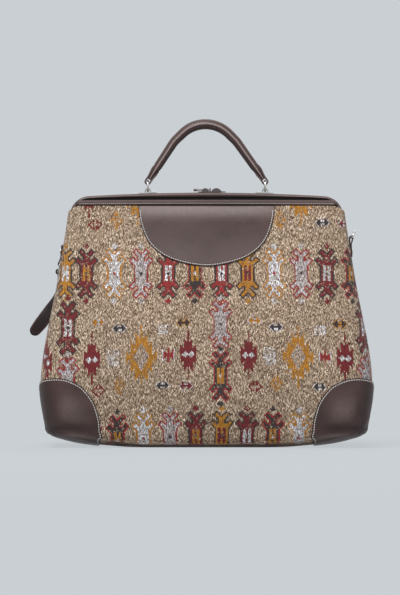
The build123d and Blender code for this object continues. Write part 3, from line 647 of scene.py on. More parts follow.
def leather_material(leather):
    """Smooth hide: broad colour drift, pebbled grain and pores, lighter where rubbed and where highlights are
    painted, darker at edges and where shade is painted.
    """
    material, tree, shader = new_material("brown_leather", rough=0.5, sheen=0.05)
    shader.inputs["Specular IOR Level"].default_value = 0.25
    place = object_place(tree)
    drift = noise(tree, place, scale=22.0, detail=4.0, rough=0.6)
    scuffs = noise(tree, place, scale=160.0, detail=4.0, rough=0.7)
    hide = ramp(tree, drift, (0.35, toned(leather.hide, 0.72)), (0.65, toned(leather.hide, 1.16)))
    # This attribute holds real rubbing and dark leather, and also the painted highlights and painted shade
    # that each piece lays on
    wear_and_painted_light = node(tree, "ShaderNodeAttribute", attribute_name="wear_and_painted_light").outputs["Fac"]
    rub_and_painted_light = maths(tree, "MAXIMUM", wear_and_painted_light, 0.0)
    rub_and_painted_light = maths(tree, "MULTIPLY", rub_and_painted_light, spread(tree, scuffs, 0.48, 0.74))
    # Below 0 the colour goes towards the shade colour: painted shade on rims, grooves, folds and undersides,
    # and the strap's own dark leather
    edge = maths(tree, "MAXIMUM", maths(tree, "MULTIPLY", wear_and_painted_light, -1.0), 0.0)
    edge = maths(tree, "MULTIPLY", edge, 0.9)
    warm = mix(tree, rub_and_painted_light, hide, leather.worn_and_highlight)
    fill(tree, shader.inputs["Base Color"], mix(tree, edge, warm, leather.shade))
    polish = maths(tree, "ADD", maths(tree, "MULTIPLY", drift, 0.6), maths(tree, "MULTIPLY", scuffs, 0.4))
    fill(tree, shader.inputs["Roughness"], spread(tree, polish, 0.34, 0.54))
    grain = node(tree, "ShaderNodeTexVoronoi", {"Vector": place}, Scale=1.0 / leather.grain)
    pores = noise(tree, place, scale=2400.0, detail=2.0)
    height = maths(tree, "ADD", grain.outputs["Distance"], maths(tree, "MULTIPLY", pores, 0.5))
    bump(tree, shader, height, distance=0.00012, strength=0.7)
    return material


def thread_material(name, tint):
    """Waxed cotton thread with a twist."""
    material, tree, shader = new_material(name, rough=0.7, sheen=0.1)
    twist = noise(tree, object_place(tree), scale=1800.0, detail=2.0)
    fill(tree, shader.inputs["Base Color"], spread(tree, twist, toned(tint, 0.72), tint))
    bump(tree, shader, twist, distance=0.0002, strength=0.7)
    return material


def metal_material(name, tint, rough):
    """Plated metal: fine rubbed streaks in its roughness, small dents and a darker drift."""
    material, tree, shader = new_material(name, rough)
    shader.inputs["Metallic"].default_value = 1.0
    place = object_place(tree)
    streaks = noise(tree, place, scale=900.0, detail=4.0, rough=0.6)
    drift = noise(tree, place, scale=120.0)
    fill(tree, shader.inputs["Base Color"], spread(tree, drift, toned(tint, 0.8), tint))
    fill(tree, shader.inputs["Roughness"], spread(tree, streaks, 0.7 * rough, 1.5 * rough))
    bump(tree, shader, streaks, distance=0.00004, strength=0.5)
    return material


def board_material(tint):
    """Grey-brown pressed board with flecks."""
    material, tree, shader = new_material("pressed_board", rough=0.85)
    flecks = noise(tree, object_place(tree), scale=500.0, detail=5.0, rough=0.7)
    fill(tree, shader.inputs["Base Color"], spread(tree, flecks, toned(tint, 0.7), tint))
    bump(tree, shader, flecks, distance=0.0002, strength=0.5)
    return material


MATERIALS = {}


def finish_of(name):
    """Material by name, made once."""
    scene = bpy.context.scene
    leather, metal = scene.bag_leather, scene.bag_metal
    makers = {
        "cloth": (cloth_material,),
        "lining": (lining_material, scene.bag_cloth.lining),
        "leather": (leather_material, leather),
        "thread": (thread_material, "waxed_thread", leather.thread),
        "dark_thread": (thread_material, "brown_thread", toned(leather.hide, 1.5)),
        "nickel": (metal_material, "nickel_plate", metal.nickel, 0.2),
        "steel": (metal_material, "frame_steel", metal.steel, 0.4),
        # Lock finish: nickel with a painted reflection of the brown leather in its dark brown tint
        "lock": (metal_material, "smoked_nickel", metal.smoked, 0.25),
        "board": (board_material, metal.board),
    }
    if name not in MATERIALS:
        maker, *values = makers[name]
        MATERIALS[name] = maker(*values)
    return MATERIALS[name]


# Woven pattern. All its lengths are in steps, the thickness of one line of a motif.

STEP = 1.36
# Middle of the pattern, a little to the right of the bag's
MIDDLE = 14.0
# Side of the table of chance numbers, and cells in one float of the ground
TABLE = 512
FLOAT = 4
GROUND = ("umber", "brown", "tan", "beige", "cream")
GROUND_SHARES = (0.2, 0.38, 0.62, 0.84)
YARNS = GROUND + ("gold", "red", "wine", "dark", "white", "grey")
ROW_HEIGHTS = (173.0, 10.0)
ROW_SPREADS = (1.0, 0.965)
ROW_PLACES = np.array([
    -248.0, -222.0, -195.0, -168.0, -141.3, -119.8, -92.0, -65.3, -38.0, -11.6,
    15.0, 41.0, 67.5, 94.5, 120.0, 146.0, 172.0, 198.0, 224.0, 250.0,
])
FIELD_PLACES = np.array([-208.0, -64.5, 90.6, 241.0])
FIELD_HEIGHT = 90.0
STOREY = 163.0
STOREY_SPREAD = 1.058
STACK_PLACES = np.array([-290.0, -137.5, 13.9, 160.0, 315.0])
STACK_HEIGHTS = (121.3, 69.5)
# Fill, outline, inner bars and centre dot of the hooked motifs, by yarn
HOOKED = (
    ("gold", "dark", "white", "white"),
    ("wine", "dark", "gold", "dark"),
    ("white", "gold", "white", "red"),
    ("grey", "red", "grey", "dark"),
    ("red", "dark", "white", "dark"),
    ("dark", "red", "gold", "white"),
    ("red", "dark", "white", "dark"),
    ("gold", "dark", "wine", "dark"),
    ("wine", "dark", "white", "dark"),
)
ROW_RECIPES = (1, 2, 3, 4, 0, 1, 2, 3, 4, 5, 6, 7, 2, 3, 8, 5, 4, 7, 2, 3)
LOW_RECIPES = (2, 3, 1, 7, 4, 5, 5, 2, 3, 1, 7, 8, 5, 2, 3, 1, 7, 4, 5, 2)
STACK_RECIPES = ((8, 3), (8, 3), (3, 5), (8, 3), (8, 3))
# Upright strips of the medallion: outer edges and tops, with the rise of each top per step
MEDALLION = (np.array([0.9, 6.4, 10.9, 15.2]), np.array([32.0, 23.5, 15.5, 6.8]), 1.1)
SPEAR = (np.array([0.7, 4.2, 8.0]), np.array([25.0, 16.5, 10.5]), 1.2)
# Small motifs beside each medallion: kind, place across and up from its middle, yarn
SMALL = (
    ("spear", -49.0, 0.0, "wine"),
    ("spear", 46.5, 1.0, "wine"),
    ("star", -28.2, 0.0, "white"),
    ("burst", 26.8, 1.0, "red"),
    ("arrows", -21.8, 29.0, "dark"),
    ("arrows", -43.0, 35.5, "gold"),
    ("bit", 21.8, 27.0, "white"),
    ("arrows", 41.5, 33.5, "dark"),
    ("ring", -42.5, -31.0, "wine"),
    ("sprig", -21.5, -27.0, "gold"),
    ("arrows", 21.3, -29.0, "dark"),
    ("arrows", 44.0, -30.0, "wine"),
)


def slab(x, y, half_x, half_y):
    """Distance outside a box: the larger of the two overshoots."""
    return np.maximum(np.abs(x) - half_x, np.abs(y) - half_y)


def hooked_distance(x, y):
    """Distance outside a hooked motif: a body, a neck and two tiers of slanting arms, folded both ways."""
    x, y = np.abs(x), np.abs(y)
    along, across = (x + y) * math.sqrt(0.5), (y - x) * math.sqrt(0.5)
    body = np.maximum(slab(x, y, 6.0, 12.5), x + 0.9 * y - 16.0)
    neck = slab(x, y - 14.0, 2.9, 4.6)
    low_arm = slab(along - 13.3, across - 3.3, 3.6, 2.0)
    high_arm = slab(along - 15.8, across - 11.5, 4.6, 1.9)
    return np.minimum.reduce([body, neck, low_arm, high_arm])


def serrated(x, y, edges, tops, lean):
    """Inside of a lozenge of upright strips: each strip's top rises towards its outer edge."""
    x, y = np.abs(x), np.abs(y)
    strip = np.searchsorted(edges, x)
    limits = np.append(tops, -99.0)[strip]
    outer = np.append(edges, 99.0)[strip]
    return y < limits - lean * (outer - x)


def small_motif(kind, x, y):
    """Insides of one small motif and of its pale centre or border."""
    ax, ay = np.abs(x), np.abs(y)
    none = np.zeros(x.shape, bool)
    if kind == "spear":
        return serrated(x, y, *SPEAR) & (ay < 26), np.abs(ax - 3.0) + 0.95 * ay < 3.2
    if kind == "burst":
        wings = (ax > 0.7) & (ax < 4.9) & (ay < 0.95 * ax)
        return ((ax < 0.75) & (ay < 7.2)) | wings, (ax > 3.6) & (ax < 6.0) & (ay < 1.05 * ax + 0.4)
    if kind == "arrows":
        inside = ((ax > 2.0) & (ay < 6.5 - ax)) | ((ay < 0.9) & (ax < 4))
        return inside, (ay < 7.5 - ax) & ((ay > 6.3 - ax) & (ax > 1.6) | (ax < 2.2) & (ay < 2.4))
    if kind == "ring":
        size = ax / 7.6 + ay / 6.8
        bars = (ax > 0.8) & (ax < 2.2) & (ay > 0.7) & (ay < 3.8)
        return ((size < 1) & (size > 0.7) & (ax > 0.6)) | bars, none
    if kind == "star":
        return (ax < 6) & (ay < 8.5), none
    if kind == "bit":
        return (ax < 5.5) & (ay < 4.6), none
    return ax / 6.5 + ay / 10.5 < 1, none


def nearest(x, places):
    """Number of the nearest place to each x."""
    return np.abs(x[:, None] - places).argmin(1)


def sagged(x, y):
    """Height in the pattern of places on the cloth: its low rows hang in a shallow bow."""
    sag = (0.0003 + 0.0002 * np.clip(1 - y / 40, 0, 1)) * (x - MIDDLE) ** 2 - 2.2
    return y + sag * np.clip((150 - y) / 60, 0, 1) * (np.abs(x) < 160)


def kilim(across, up, cloth):
    """Yarn colours of woven cells at places across and up the cloth in mm, with the floats' share as alpha.

    The ground is short slanting floats of five yarns; hooked motifs stand in two rows and in stacks,
    and a stepped medallion with small motifs fills each field between the stacks.
    """
    yarn = {name: np.array(getattr(cloth, name)) for name in YARNS}
    table = np.random.default_rng(7).random((TABLE, TABLE))
    jump = (table[5] * TABLE).astype(int)
    cell = cloth.thread / MM
    i = np.floor(across / cell).astype(int)
    j = np.floor(up / cell).astype(int)

    def chance(row, column):
        return table[row % TABLE, column % TABLE]

    rising = chance(i - j, (i + j + jump[(i - j) % TABLE]) // FLOAT)
    falling = chance(i + j, (i - j + jump[(i + j) % TABLE]) // FLOAT)
    value = np.where(chance(i // FLOAT, j // FLOAT + 91) < 0.5, rising, falling)
    value = 0.8 * value + 0.2 * chance(i, j + 37)
    ground = np.stack([yarn[name] for name in GROUND])[np.searchsorted(GROUND_SHARES, value)]
    tints = ground.copy()
    edges = np.zeros(len(tints), bool)
    x = across / STEP
    y = sagged(x, up / STEP)
    hook_yarns = [np.stack([yarn[recipe[part]] for recipe in HOOKED]) for part in range(4)]

    def hooked(dx, dy, recipe):
        """Draw hooked motifs: a pale halo, the outline, the body with a bead at each end, bars and a dot."""
        distance = hooked_distance(dx, dy)
        body, line, bars, dot = (yarns[recipe] for yarns in hook_yarns)
        ax, ay = np.abs(dx), np.abs(dy)
        bead = ax + np.abs(ay - 27.5)
        near = np.minimum(distance, np.abs(bead) - 3.3)
        halo = (near > 0.6) & (near < 1.5) & (ay > 11) & (chance(i, j) < 0.55)
        tints[halo] = yarn["cream"]
        edges[distance < 1.05] = True
        edges[distance < -0.35] = False
        for inside, shade in (
            (distance < 1.05, line),
            (distance < -0.35, body),
            (bead < 3.4, body),
            ((ax > 0.9) & (ax < 3.7) & (ay < 7.8), bars),
            ((ax < 3.7) & (ay < 2.4), bars),
            (ax + ay < 2.0, dot),
        ):
            tints[inside] = shade[inside]

    for height, stretch, recipes in zip(ROW_HEIGHTS, ROW_SPREADS, (ROW_RECIPES, LOW_RECIPES)):
        places = (ROW_PLACES - MIDDLE) * stretch + MIDDLE
        column = nearest(x, places)
        hooked(x - places[column], y - height, np.array(recipes)[column])
    stack = nearest(x, STACK_PLACES)
    for index, height in enumerate(STACK_HEIGHTS):
        hooked(x - STACK_PLACES[stack], y - height, np.array(STACK_RECIPES)[stack, index])
    storey = np.round((y - FIELD_HEIGHT) / STOREY)
    stretch = np.where(storey == 0, 1.0, STOREY_SPREAD)[:, None]
    places = (FIELD_PLACES - MIDDLE) * stretch + MIDDLE
    fx = x - places[np.arange(len(x)), nearest(x, places)]
    fy = y - FIELD_HEIGHT - storey * STOREY
    border = serrated(np.abs(fx) - 1.2, fy, *MEDALLION) & (chance(j, i) < 0.6)
    tints[border] = yarn["cream"]
    medallion = serrated(fx, fy, *MEDALLION)
    tints[medallion] = yarn["gold"]
    hole = medallion & (np.abs(fx) / 7.8 + np.abs(fy) / 14.0 < 1)
    speckle = chance(i + 7, j + 3) < 0.25
    tints[hole] = np.where(speckle[:, None], yarn["grey"], yarn["tan"])[hole]
    for kind, place, height, name in SMALL:
        inside, centre = small_motif(kind, fx - place, fy - height)
        edges |= inside | centre
        if kind in ("star", "sprig", "bit"):
            inside &= chance(i + 2 * j, 5 * j) < 0.5
        if kind in ("arrows", "burst"):
            tints[centre] = yarn["gold" if place > 40 and height > 0 else "white"]
            tints[inside] = yarn[name]
        else:
            tints[inside] = yarn[name]
            tints[centre] = yarn["white"]
    drawn = (tints != ground).any(1)
    fleck = chance(2 * i + 3 * j, 7 * j - i)
    bare = drawn & ~edges & (fleck < 0.12)
    tints[bare] = ground[bare]
    tints[drawn & (tints.min(1) > 0.3) & (fleck > 0.6)] *= 0.5
    tints *= np.where(drawn, 0.74 + 0.4 * fleck, 0.9 + 0.2 * fleck)[:, None]
    floats_share = np.where(tints.min(1) > 0.12, 0.8, 0.45)
    return np.c_[tints, np.where(drawn, floats_share, 1.0)]


def mean_of(values, faces):
    """Mean of point values over each face."""
    return np.concatenate([values[group].mean(1) for group in faces])


# Pieces of cloth

STRAIGHT_STEPS = 140
CORNER_STEPS = 30
HEIGHT_STEPS = 220
GUSSET_STEPS = 50
GUSSET_MIDDLE = FIELD_PLACES[2] * STEP
# The base: steps of its straight front, corner and gusset, rings of its flat and of its rim,
# every how many of them the lining has, and how far the pattern is stretched under it
BASE_STEPS = (60, 20, 20)
FLAT_RINGS = 50
RIM_RINGS = 41
FLAT_SKIP = 10
RIM_SKIP = 4
BASE_STRETCH = 1.1


def shoulder(x):
    """Height of the cloth's top edge: level, then an arc down over the ends of the frame."""
    over = np.clip(np.abs(x) - SHOULDER_START, 0, SHOULDER_RADIUS * 0.98)
    return TOP - SHOULDER_RADIUS + np.sqrt(SHOULDER_RADIUS**2 - over**2)


def seam_dip(distance):
    """How far cloth sinks at a sewn edge, in mm, at a distance from it."""
    return 0.7 * bell(distance, 2.2)


def grown(grow, to_seam, heights):
    """How far a layer of cloth lies out: its outside, at a grow of 0, sinks along its seams."""
    return grow - (grow == 0) * (seam_dip(to_seam) + seam_dip(heights - EDGE))


def wall_heights(turns, steps):
    """Heights of the rows of a wall, from the base seam up to the shoulders."""
    top = wall(turns, TOP_LEVEL)[..., 0]
    return EDGE + np.linspace(0, 1, steps + 1)[:, None] * (shoulder(top) - EDGE)


def panel_grid(turns, steps, grow):
    """Points of the front panel and their map: the wall's quarter on both sides, let out by the slack."""
    turn = np.abs(turns)
    heights = wall_heights(turn, steps)
    level = level_of(heights)
    straight, _, corner = runs_at(level)
    run = np.minimum(turn, 1) * straight
    bow = np.clip(turn - 1, 0, 1) * corner * QUARTER
    to_seam = corner * QUARTER - bow + np.maximum(straight - run, 0)
    points = wall(turn[None], level)
    out = wall(turn[None], level, 1.0) - points
    points = points + out * grown(grow, to_seam, heights)[..., None]
    points[..., 0] *= np.where(turns < 0, -1, 1)
    points[..., 1] -= slack(points[..., 0], heights)
    return points, np.stack([np.sign(turns) * (run + bow), points[..., 2]], -1)


def gusset_grid(steps, rows, grow):
    """Points of the front half of the right gusset, with their distance from the fold and their height."""
    turns = np.linspace(2, 3, steps + 1)
    heights = wall_heights(turns, rows)
    level = level_of(heights)
    straight = runs_at(level)[1]
    run = (turns - 2) * straight
    points = wall(turns[None], level)
    points[..., 0] += grown(grow, run, heights)
    return points, np.stack([straight - run, heights], -1)


def base_loop(level, grow):
    """Rings round the whole bag at levels: the wall's quarter, mirrored both ways."""
    turns = [np.linspace(start, start + 1, steps + 1)[:-1] for start, steps in enumerate(BASE_STEPS)]
    first = wall(np.concatenate(turns)[None], level, grow)
    last = wall(np.array([[3.0]]), level, grow)
    half = np.concatenate([first, last, first[:, :0:-1] * np.array([1, -1, 1])], 1)
    return np.concatenate([half, half * np.array([-1, -1, 1])], 1)


def cloth_piece(name, points, faces, maps, slots, mirror=(1, 1)):
    """Closed piece of patterned cloth and lining, mirrored where asked."""
    tints = kilim(*mean_of(maps, faces).T, bpy.context.scene.bag_cloth)
    finishes = [finish_of("cloth"), finish_of("lining")]
    return new_piece(name, points * np.array([*mirror, 1]), faces, finishes, maps, tints, slots=slots)


def wall_piece(name, outer, inner, uv, mirror):
    """Closed wall of cloth from its outer and inner grids."""
    points, faces = two_layers(outer, inner)
    maps = np.concatenate([uv.reshape(-1, 2), uv[::2, ::2].reshape(-1, 2)])
    slots = np.repeat((0, 0, 1), [len(group) for group in faces])
    return cloth_piece(name, points, faces, maps, slots, mirror)


class BAG_OT_panels(bpy.types.Operator):
    """Front and back: wide cloth walls that bulge, lean in to the frame and turn into the gussets"""

    bl_idname = "bag.panels"
    bl_label = "Front and back panels"

    def execute(self, context):
        front, corner = np.linspace(0, 1, STRAIGHT_STEPS + 1), np.linspace(1, 2, CORNER_STEPS + 1)
        half = np.concatenate([front, corner[1:]])
        turns = np.concatenate([-half[:0:-1], half])
        outer, uv = panel_grid(turns, HEIGHT_STEPS, 0.0)
        inner, _ = panel_grid(turns[::2], HEIGHT_STEPS // 2, -CLOTH)
        for name, side in (("front_panel", -1), ("back_panel", 1)):
            made = wall_piece(f"{name}_cloth", outer, inner, uv, (1, -side))
            settle(made, [name], bend=bend_of(side))
        return {"FINISHED"}


class BAG_OT_gussets(bpy.types.Operator):
    """Gussets in two halves each, which meet at the inward fold"""

    bl_idname = "bag.gussets"
    bl_label = "Gussets"

    def execute(self, context):
        outer, folds = gusset_grid(GUSSET_STEPS, HEIGHT_STEPS, 0.0)
        inner, _ = gusset_grid(GUSSET_STEPS // 2, HEIGHT_STEPS // 2, -CLOTH)
        for end, across in (("left", -1), ("right", 1)):
            for half, side in (("front", -1), ("rear", 1)):
                uv = np.array([GUSSET_MIDDLE, 0.0]) + folds * np.array([side, 1.0])
                made = wall_piece(f"{end}_gusset_{half}", outer, inner, uv, (across, -side))
                settle(made, [f"{end}_gusset"], bend=bend_of(side))
        return {"FINISHED"}


class BAG_OT_base(bpy.types.Operator):
    """Base: the cloth runs from the flat middle up to the seam with the walls all round"""

    bl_idname = "bag.base"
    bl_label = "Base"

    def execute(self, context):
        levels = np.linspace(0, EDGE_LEVEL, RIM_RINGS)[:, None]
        shares = np.linspace(0, 1, FLAT_RINGS + 2)[1:-1, None, None]
        level_plane = np.array([1, 1, 0])
        flat = base_loop(levels[:1], 0.0) * level_plane * shares
        under = np.concatenate([flat, base_loop(levels, 0.0)])
        flat_in = base_loop(levels[:1], -CLOTH) * level_plane * shares[::-FLAT_SKIP] + CLOTH * UP_WAY
        inside = np.concatenate([base_loop(levels[::-RIM_SKIP], -CLOTH), flat_in])
        points, faces = capped_tube(np.concatenate([under, inside]))
        inward = np.maximum(LEVELS[int(EDGE_LEVEL), 2] - np.abs(points[:, 1]), 0)
        maps = np.stack([points[:, 0], points[:, 2] - BASE_STRETCH * inward], -1)
        slots = mean_of(np.arange(float(len(points))), faces) > under.shape[0] * under.shape[1]
        made = cloth_piece("base_cloth", points, faces, maps, slots)
        settle(made, ["base_panel"], body="bag")
        return {"FINISHED"}


# Pieces of leather. Wear is above 0 where the leather is lighter, from rubbing and from painted highlights,
# and below 0 where it is darker, from its own dark colour and from painted shade.

# Rings of a patch: shares of the way out from its middle to its border, then the insets of the
# border's rings from the rim and how far each stands out, and the insets of its underside
RING_SHARES = np.array([0.1, 0.22, 0.36, 0.5, 0.64, 0.76, 0.86])
RING_INSETS = np.array([5.0, 4.0, 3.2, 2.7, 2.2, 1.7, 1.2, 0.7, 0.3, 0.0])
RING_GROWS = np.array([1.8, 1.8, 1.75, 1.55, 1.4, 1.55, 1.8, 1.75, 1.45, 0.9])
UNDER_INSETS = np.array([0.0, 3.0])
# Length, width and height of the stitches
BOLD_STITCH = (2.7, 1.15, 0.8)
COVER_STITCH = (2.2, 0.7, 0.6)
WELT_STITCH = (1.7, 0.8, 0.7)
GRIP_STITCH = (2.2, 0.6, 0.4)
STRAP_STITCH = (1.8, 0.7, 0.6)
HANG_STITCH = (2.3, 0.6, 0.5)


def leather_pitch():
    """Distance between the stitches of the leather, in mm."""
    return bpy.context.scene.bag_leather.pitch / MM


def sew(name, lines, pitch, size, body=None, bend=None, finish="thread", slant=0.0):
    """Stitches along lines, as one piece that rides on the body of the leather it holds, or keeps its place,
    with its transform baked in.
    """
    points, faces = stitch_run(lines, pitch, size, slant)
    settle(new_piece(name, points, faces, [finish_of(finish)]), [], body, bend)


def leather_strip(name, rings, wear_and_painted_light, replaced, body):
    """Leather piece from rings of points; its wear and painted light is one number, or goes by point with
    none at the poles.
    """
    points, faces = capped_tube(rings)
    wear_and_painted_light = np.full(len(points), wear_and_painted_light) if np.isscalar(wear_and_painted_light) else np.append(wear_and_painted_light, [0, 0])
    settle(new_piece(name, points, faces, [finish_of("leather")], wear_and_painted_light=wear_and_painted_light), [replaced], body)


def leather_patch(name, rim, centre, place, mirror, tone, sewn):
    """Patch of leather on the bag, and the points and outward directions of its stitches' line.

    Rings shrink from the rim to the centre on the bag's surface; the edge is turned over and round,
    with a shallow channel where the stitches lie, and the underside runs back to the centre.
    """
    reach = np.linalg.norm(rim - centre, axis=1)
    insets = RING_INSETS[0] + (reach - RING_INSETS[0]) * (1 - RING_SHARES[:, None])
    border, under = (rows[:, None] + 0 * reach for rows in (RING_INSETS, UNDER_INSETS))
    rings = np.concatenate([insets, border, under, insets[::-3]])
    tops = np.concatenate([np.full(len(RING_SHARES), LEATHER), RING_GROWS])[:, None]
    tops = np.where(tops > 1.3, LEATHER - (LEATHER - tops) * sewn, tops)
    grows = np.concatenate([tops, np.zeros((len(rings) - len(tops), len(reach)))])
    spots = centre + (rim - centre) * (1 - rings / reach)[..., None]
    points, faces = capped_tube(place(spots, SEAT + grows))
    # Painted shadow: the outermost rows of a sewn rim go to the shade colour, a dark line round the patch
    edge = np.where(rings < 0.9, 1.0, 0.0) * sewn
    rub = 0.5 * bell(rings - 1.5, 0.5) * sewn
    # The tone adds each patch's painted highlights and painted shade
    wear_and_painted_light = np.append(rub - edge + tone(spots) * (rings >= 1.2), [tone(centre), 0.0])
    line = centre + (rim - centre) * (1 - STITCH_INSET / reach)[:, None]
    stitched = place(line, np.full(len(line), SEAT + 1.75))
    ups = stitched - place(line, np.full(len(line), SEAT + 0.75))
    turn = np.array([*mirror, 1])
    made = new_piece(name, points * turn, faces, [finish_of("leather")], wear_and_painted_light=wear_and_painted_light)
    return made, stitched * turn, ups * turn


# Half of a facing's lower edge, from the frame to its lowest point, and the middle of its rings
YOKE_OUTLINE = np.array([
    (93.0, 328.0), (90.7, 307.3), (82.8, 284.8), (69.8, 268.2), (50.2, 255.8), (26.0, 248.3), (0.0, 245.0),
])
YOKE_CENTRE = np.array([0.0, 287.0])


def yoke_at(spots, grow):
    """Point of a facing at a spot across and up the front."""
    return front_at(spots[..., 0], spots[..., 1], grow)


def yoke_painted_light(spots):
    """Painted light of a facing: a painted highlight where it rolls in under the frame, a little painted
    shade below that.
    """
    height = spots[..., 1]
    return 0.9 * smooth((height - 298) / 28) ** 1.6 - 0.12 * bell(height - 286, 20)


class BAG_OT_yokes(bpy.types.Operator):
    """Half-moon leather facings under the frame, front and back, with white stitching"""

    bl_idname = "bag.yokes"
    bl_label = "Half-moon facings"

    def execute(self, context):
        both = np.concatenate([YOKE_OUTLINE, YOKE_OUTLINE[-2::-1] * np.array([-1, 1])])
        round_rim = through(both, np.linspace(0, len(both) - 1, 201))
        straight = np.linspace(round_rim[-1], round_rim[0], 61)[1:-1]
        rim = np.concatenate([round_rim, straight])
        sewn = np.arange(len(rim)) < len(round_rim)
        stitched = slice(4, len(round_rim) - 4)
        for name, side in (("front_yoke", -1), ("back_yoke", 1)):
            made, line, ups = leather_patch(
                f"{name}_leather", rim, YOKE_CENTRE, yoke_at, (1, -side), yoke_painted_light, sewn
            )
            bend = bend_of(side)
            settle(made, [name], bend=bend)
            line = (line[stitched], ups[stitched])
            sew(f"{name}_stitches", [line], leather_pitch(), BOLD_STITCH, bend=bend)
        return {"FINISHED"}


# Rim of a corner patch: along the wall from the corner's middle to the gusset, and its level
CORNER_RIM = np.array([
    (-11.0, 4.45), (10.0, 4.33), (24.0, 4.07), (39.0, 3.65), (52.0, 3.1), (58.0, 2.4), (54.0, 1.8),
    (46.0, 1.2), (30.0, 0.55), (2.0, 0.62), (-24.0, 1.0), (-35.7, 1.25), (-47.0, 1.5), (-57.6, 1.75),
    (-67.0, 2.0), (-68.6, 2.35), (-69.0, 2.74), (-64.5, 3.445), (-53.0, 4.0), (-41.0, 4.26), (-27.0, 4.42),
])
CORNER_POINTS = 240
# Rows of the rim between which it is stitched: up the front, over the top and down the gusset
CORNER_SEWN = (10, 7)
CORNER_CENTRE = np.array([-4.0, 106.0])
# Where a corner's creases meet, and the height up its profile of the fold along its lower edge
CREASES_MEET = (-3.0, 98.0)
CORNER_FOLD = 107.0
PROFILE_RUN = length_along(LEVELS[:, :2])


def corner_at(spots, grow):
    """Point of the front right corner: along the wall from the corner's middle, and up the profile.

    The leather is plump over the front, and creased, puckered and grooved where it folds under.
    """
    along, up = spots[..., 0], spots[..., 1]
    level = np.interp(up, PROFILE_RUN, np.arange(len(LEVELS)))
    front_run, gusset_run, radius = runs_at(level)
    bow = radius * QUARTER / 2
    front = np.clip(-along - bow, 0, None) / front_run
    side = np.clip(along - bow, 0, None) / gusset_run
    turn = 1.5 + np.clip(along / (2 * bow), -0.5, 0.5) - front + side
    beside, above = along - CREASES_MEET[0], up - CREASES_MEET[1]
    crease = bell(beside, 2.6) * bell(above, 16)
    plump = 2.2 * bell(along + 24, 22) * bell(up - 130, 20)
    puckers = 0.55 * np.sin(7 * np.arctan2(above, beside)) * bell(np.hypot(above, beside) - 18, 11)
    groove = bell(up - CORNER_FOLD, 5) * smooth((along + 60) / 30) * (1 - smooth((along - 4) / 14))
    point = wall(turn, level, grow + plump + (puckers - 1.1 * np.maximum(crease, groove)) * (grow > 1))
    point[..., 1] -= slack(point[..., 0], point[..., 2]) * np.clip((-along - bow) / 30, 0, 1)
    point[..., 2] = np.maximum(point[..., 2], 0.4)
    return point


def corner_painted_light(spots):
    """Painted light of a corner: a painted highlight over its padded middle and on the band under its fold,
    painted shade where it turns to the gusset and along its folds.
    """
    along, up = spots[..., 0], spots[..., 1]
    middle = 0.42 * bell(along + 30, 20) * bell(up - 132, 22)
    turn = 0.5 * bell(along + 2, 11) + 0.45 * smooth((along - 4) / 14)
    fold = 0.7 * bell(up - CORNER_FOLD, 6) * smooth((along + 62) / 30)
    lower = 0.65 * bell(up - 94, 8) * bell(along + 30, 26)
    return middle + lower - np.maximum(turn, fold)


class BAG_OT_corners(bpy.types.Operator):
    """Four leather corners that wrap the front or back, the gusset and the base"""

    bl_idname = "bag.corners"
    bl_label = "Leather corners"

    def execute(self, context):
        rim = closed_through(CORNER_RIM, CORNER_POINTS)
        rim[:, 1] = np.interp(rim[:, 1], np.arange(len(LEVELS)), PROFILE_RUN)
        first, last = (CORNER_POINTS * row // len(CORNER_RIM) for row in CORNER_SEWN)
        stitched = np.arange(first, CORNER_POINTS + last) % CORNER_POINTS
        sewn = np.ones(CORNER_POINTS)
        lines = []
        for end, across in (("left", -1), ("right", 1)):
            for half, side in (("front", -1), ("back", 1)):
                name = f"{half}_{end}_corner"
                made, line, ups = leather_patch(
                    f"{name}_leather", rim, CORNER_CENTRE, corner_at, (across, -side), corner_painted_light, sewn
                )
                settle(made, [name], body="bag")
                lines.append((line[stitched], ups[stitched]))
        sew("corner_stitches", lines, leather_pitch(), BOLD_STITCH, body="bag")
        return {"FINISHED"}


# Groove of a frame cover over the welt: shares of its width, and the depth of its floor there
GROOVE_SHARES = np.array([-0.12, 0.0, 0.06, 0.12, 0.35, 0.8, 0.95, 1.0, 1.1])
GROOVE_FLOOR = np.array([5.0, 4.9, 4.2, 2.6, 2.4, 2.4, 2.6, 4.2, 4.9])
GROOVE_LIMIT = 4.15
COVER_ROUND = 2.8
COVER_STEPS = 5
# Its stitches: how far inside the outline, above its feet and under its face they lie
STITCH_DROP = 2.4
STITCH_FOOT = 8.0
STITCH_SUNK = 0.3
# The welt: half length, depth and height of its middle, half thickness and height, pitch of its stitches
WELT_LONG = 179.0
WELT_DEPTH = 12.6
WELT_MIDDLE = 332.3
WELT_HALF = np.array([1.75, 3.9])
WELT_PITCH = 2.7


def arch(x, drop):
    """Height of the crowned frame top at x, lower by drop."""
    return FRAME_TOP - ARCH_RADIUS + np.sqrt((ARCH_RADIUS - drop) ** 2 - x**2)


def bow_path(drop, foot):
    """Line round a frame half inside its outline by drop: up a leg, round the corner, over the arch, down."""
    radius = FRAME_CORNER - drop
    middle = HALF_FRAME - FRAME_CORNER
    low = FRAME_TOP - ARCH_RADIUS
    centre_height = low + math.sqrt((ARCH_RADIUS - FRAME_CORNER) ** 2 - middle**2)
    lean = math.atan2(middle, centre_height - low)
    leg = np.linspace(foot, centre_height, 12)[:-1]
    turn = np.linspace(0, QUARTER - lean, 14)
    right_leg = np.stack([np.full(len(leg), HALF_FRAME - drop), leg], -1)
    right_bow = np.stack([middle + radius * np.cos(turn), centre_height + radius * np.sin(turn)], -1)
    end = right_bow[-1, 0]
    over = np.linspace(end, -end, 170)[1:-1]
    top = np.stack([over, arch(over, drop)], -1)
    right = np.concatenate([right_leg, right_bow])
    return np.concatenate([right, top, right[::-1] * np.array([-1, 1])])


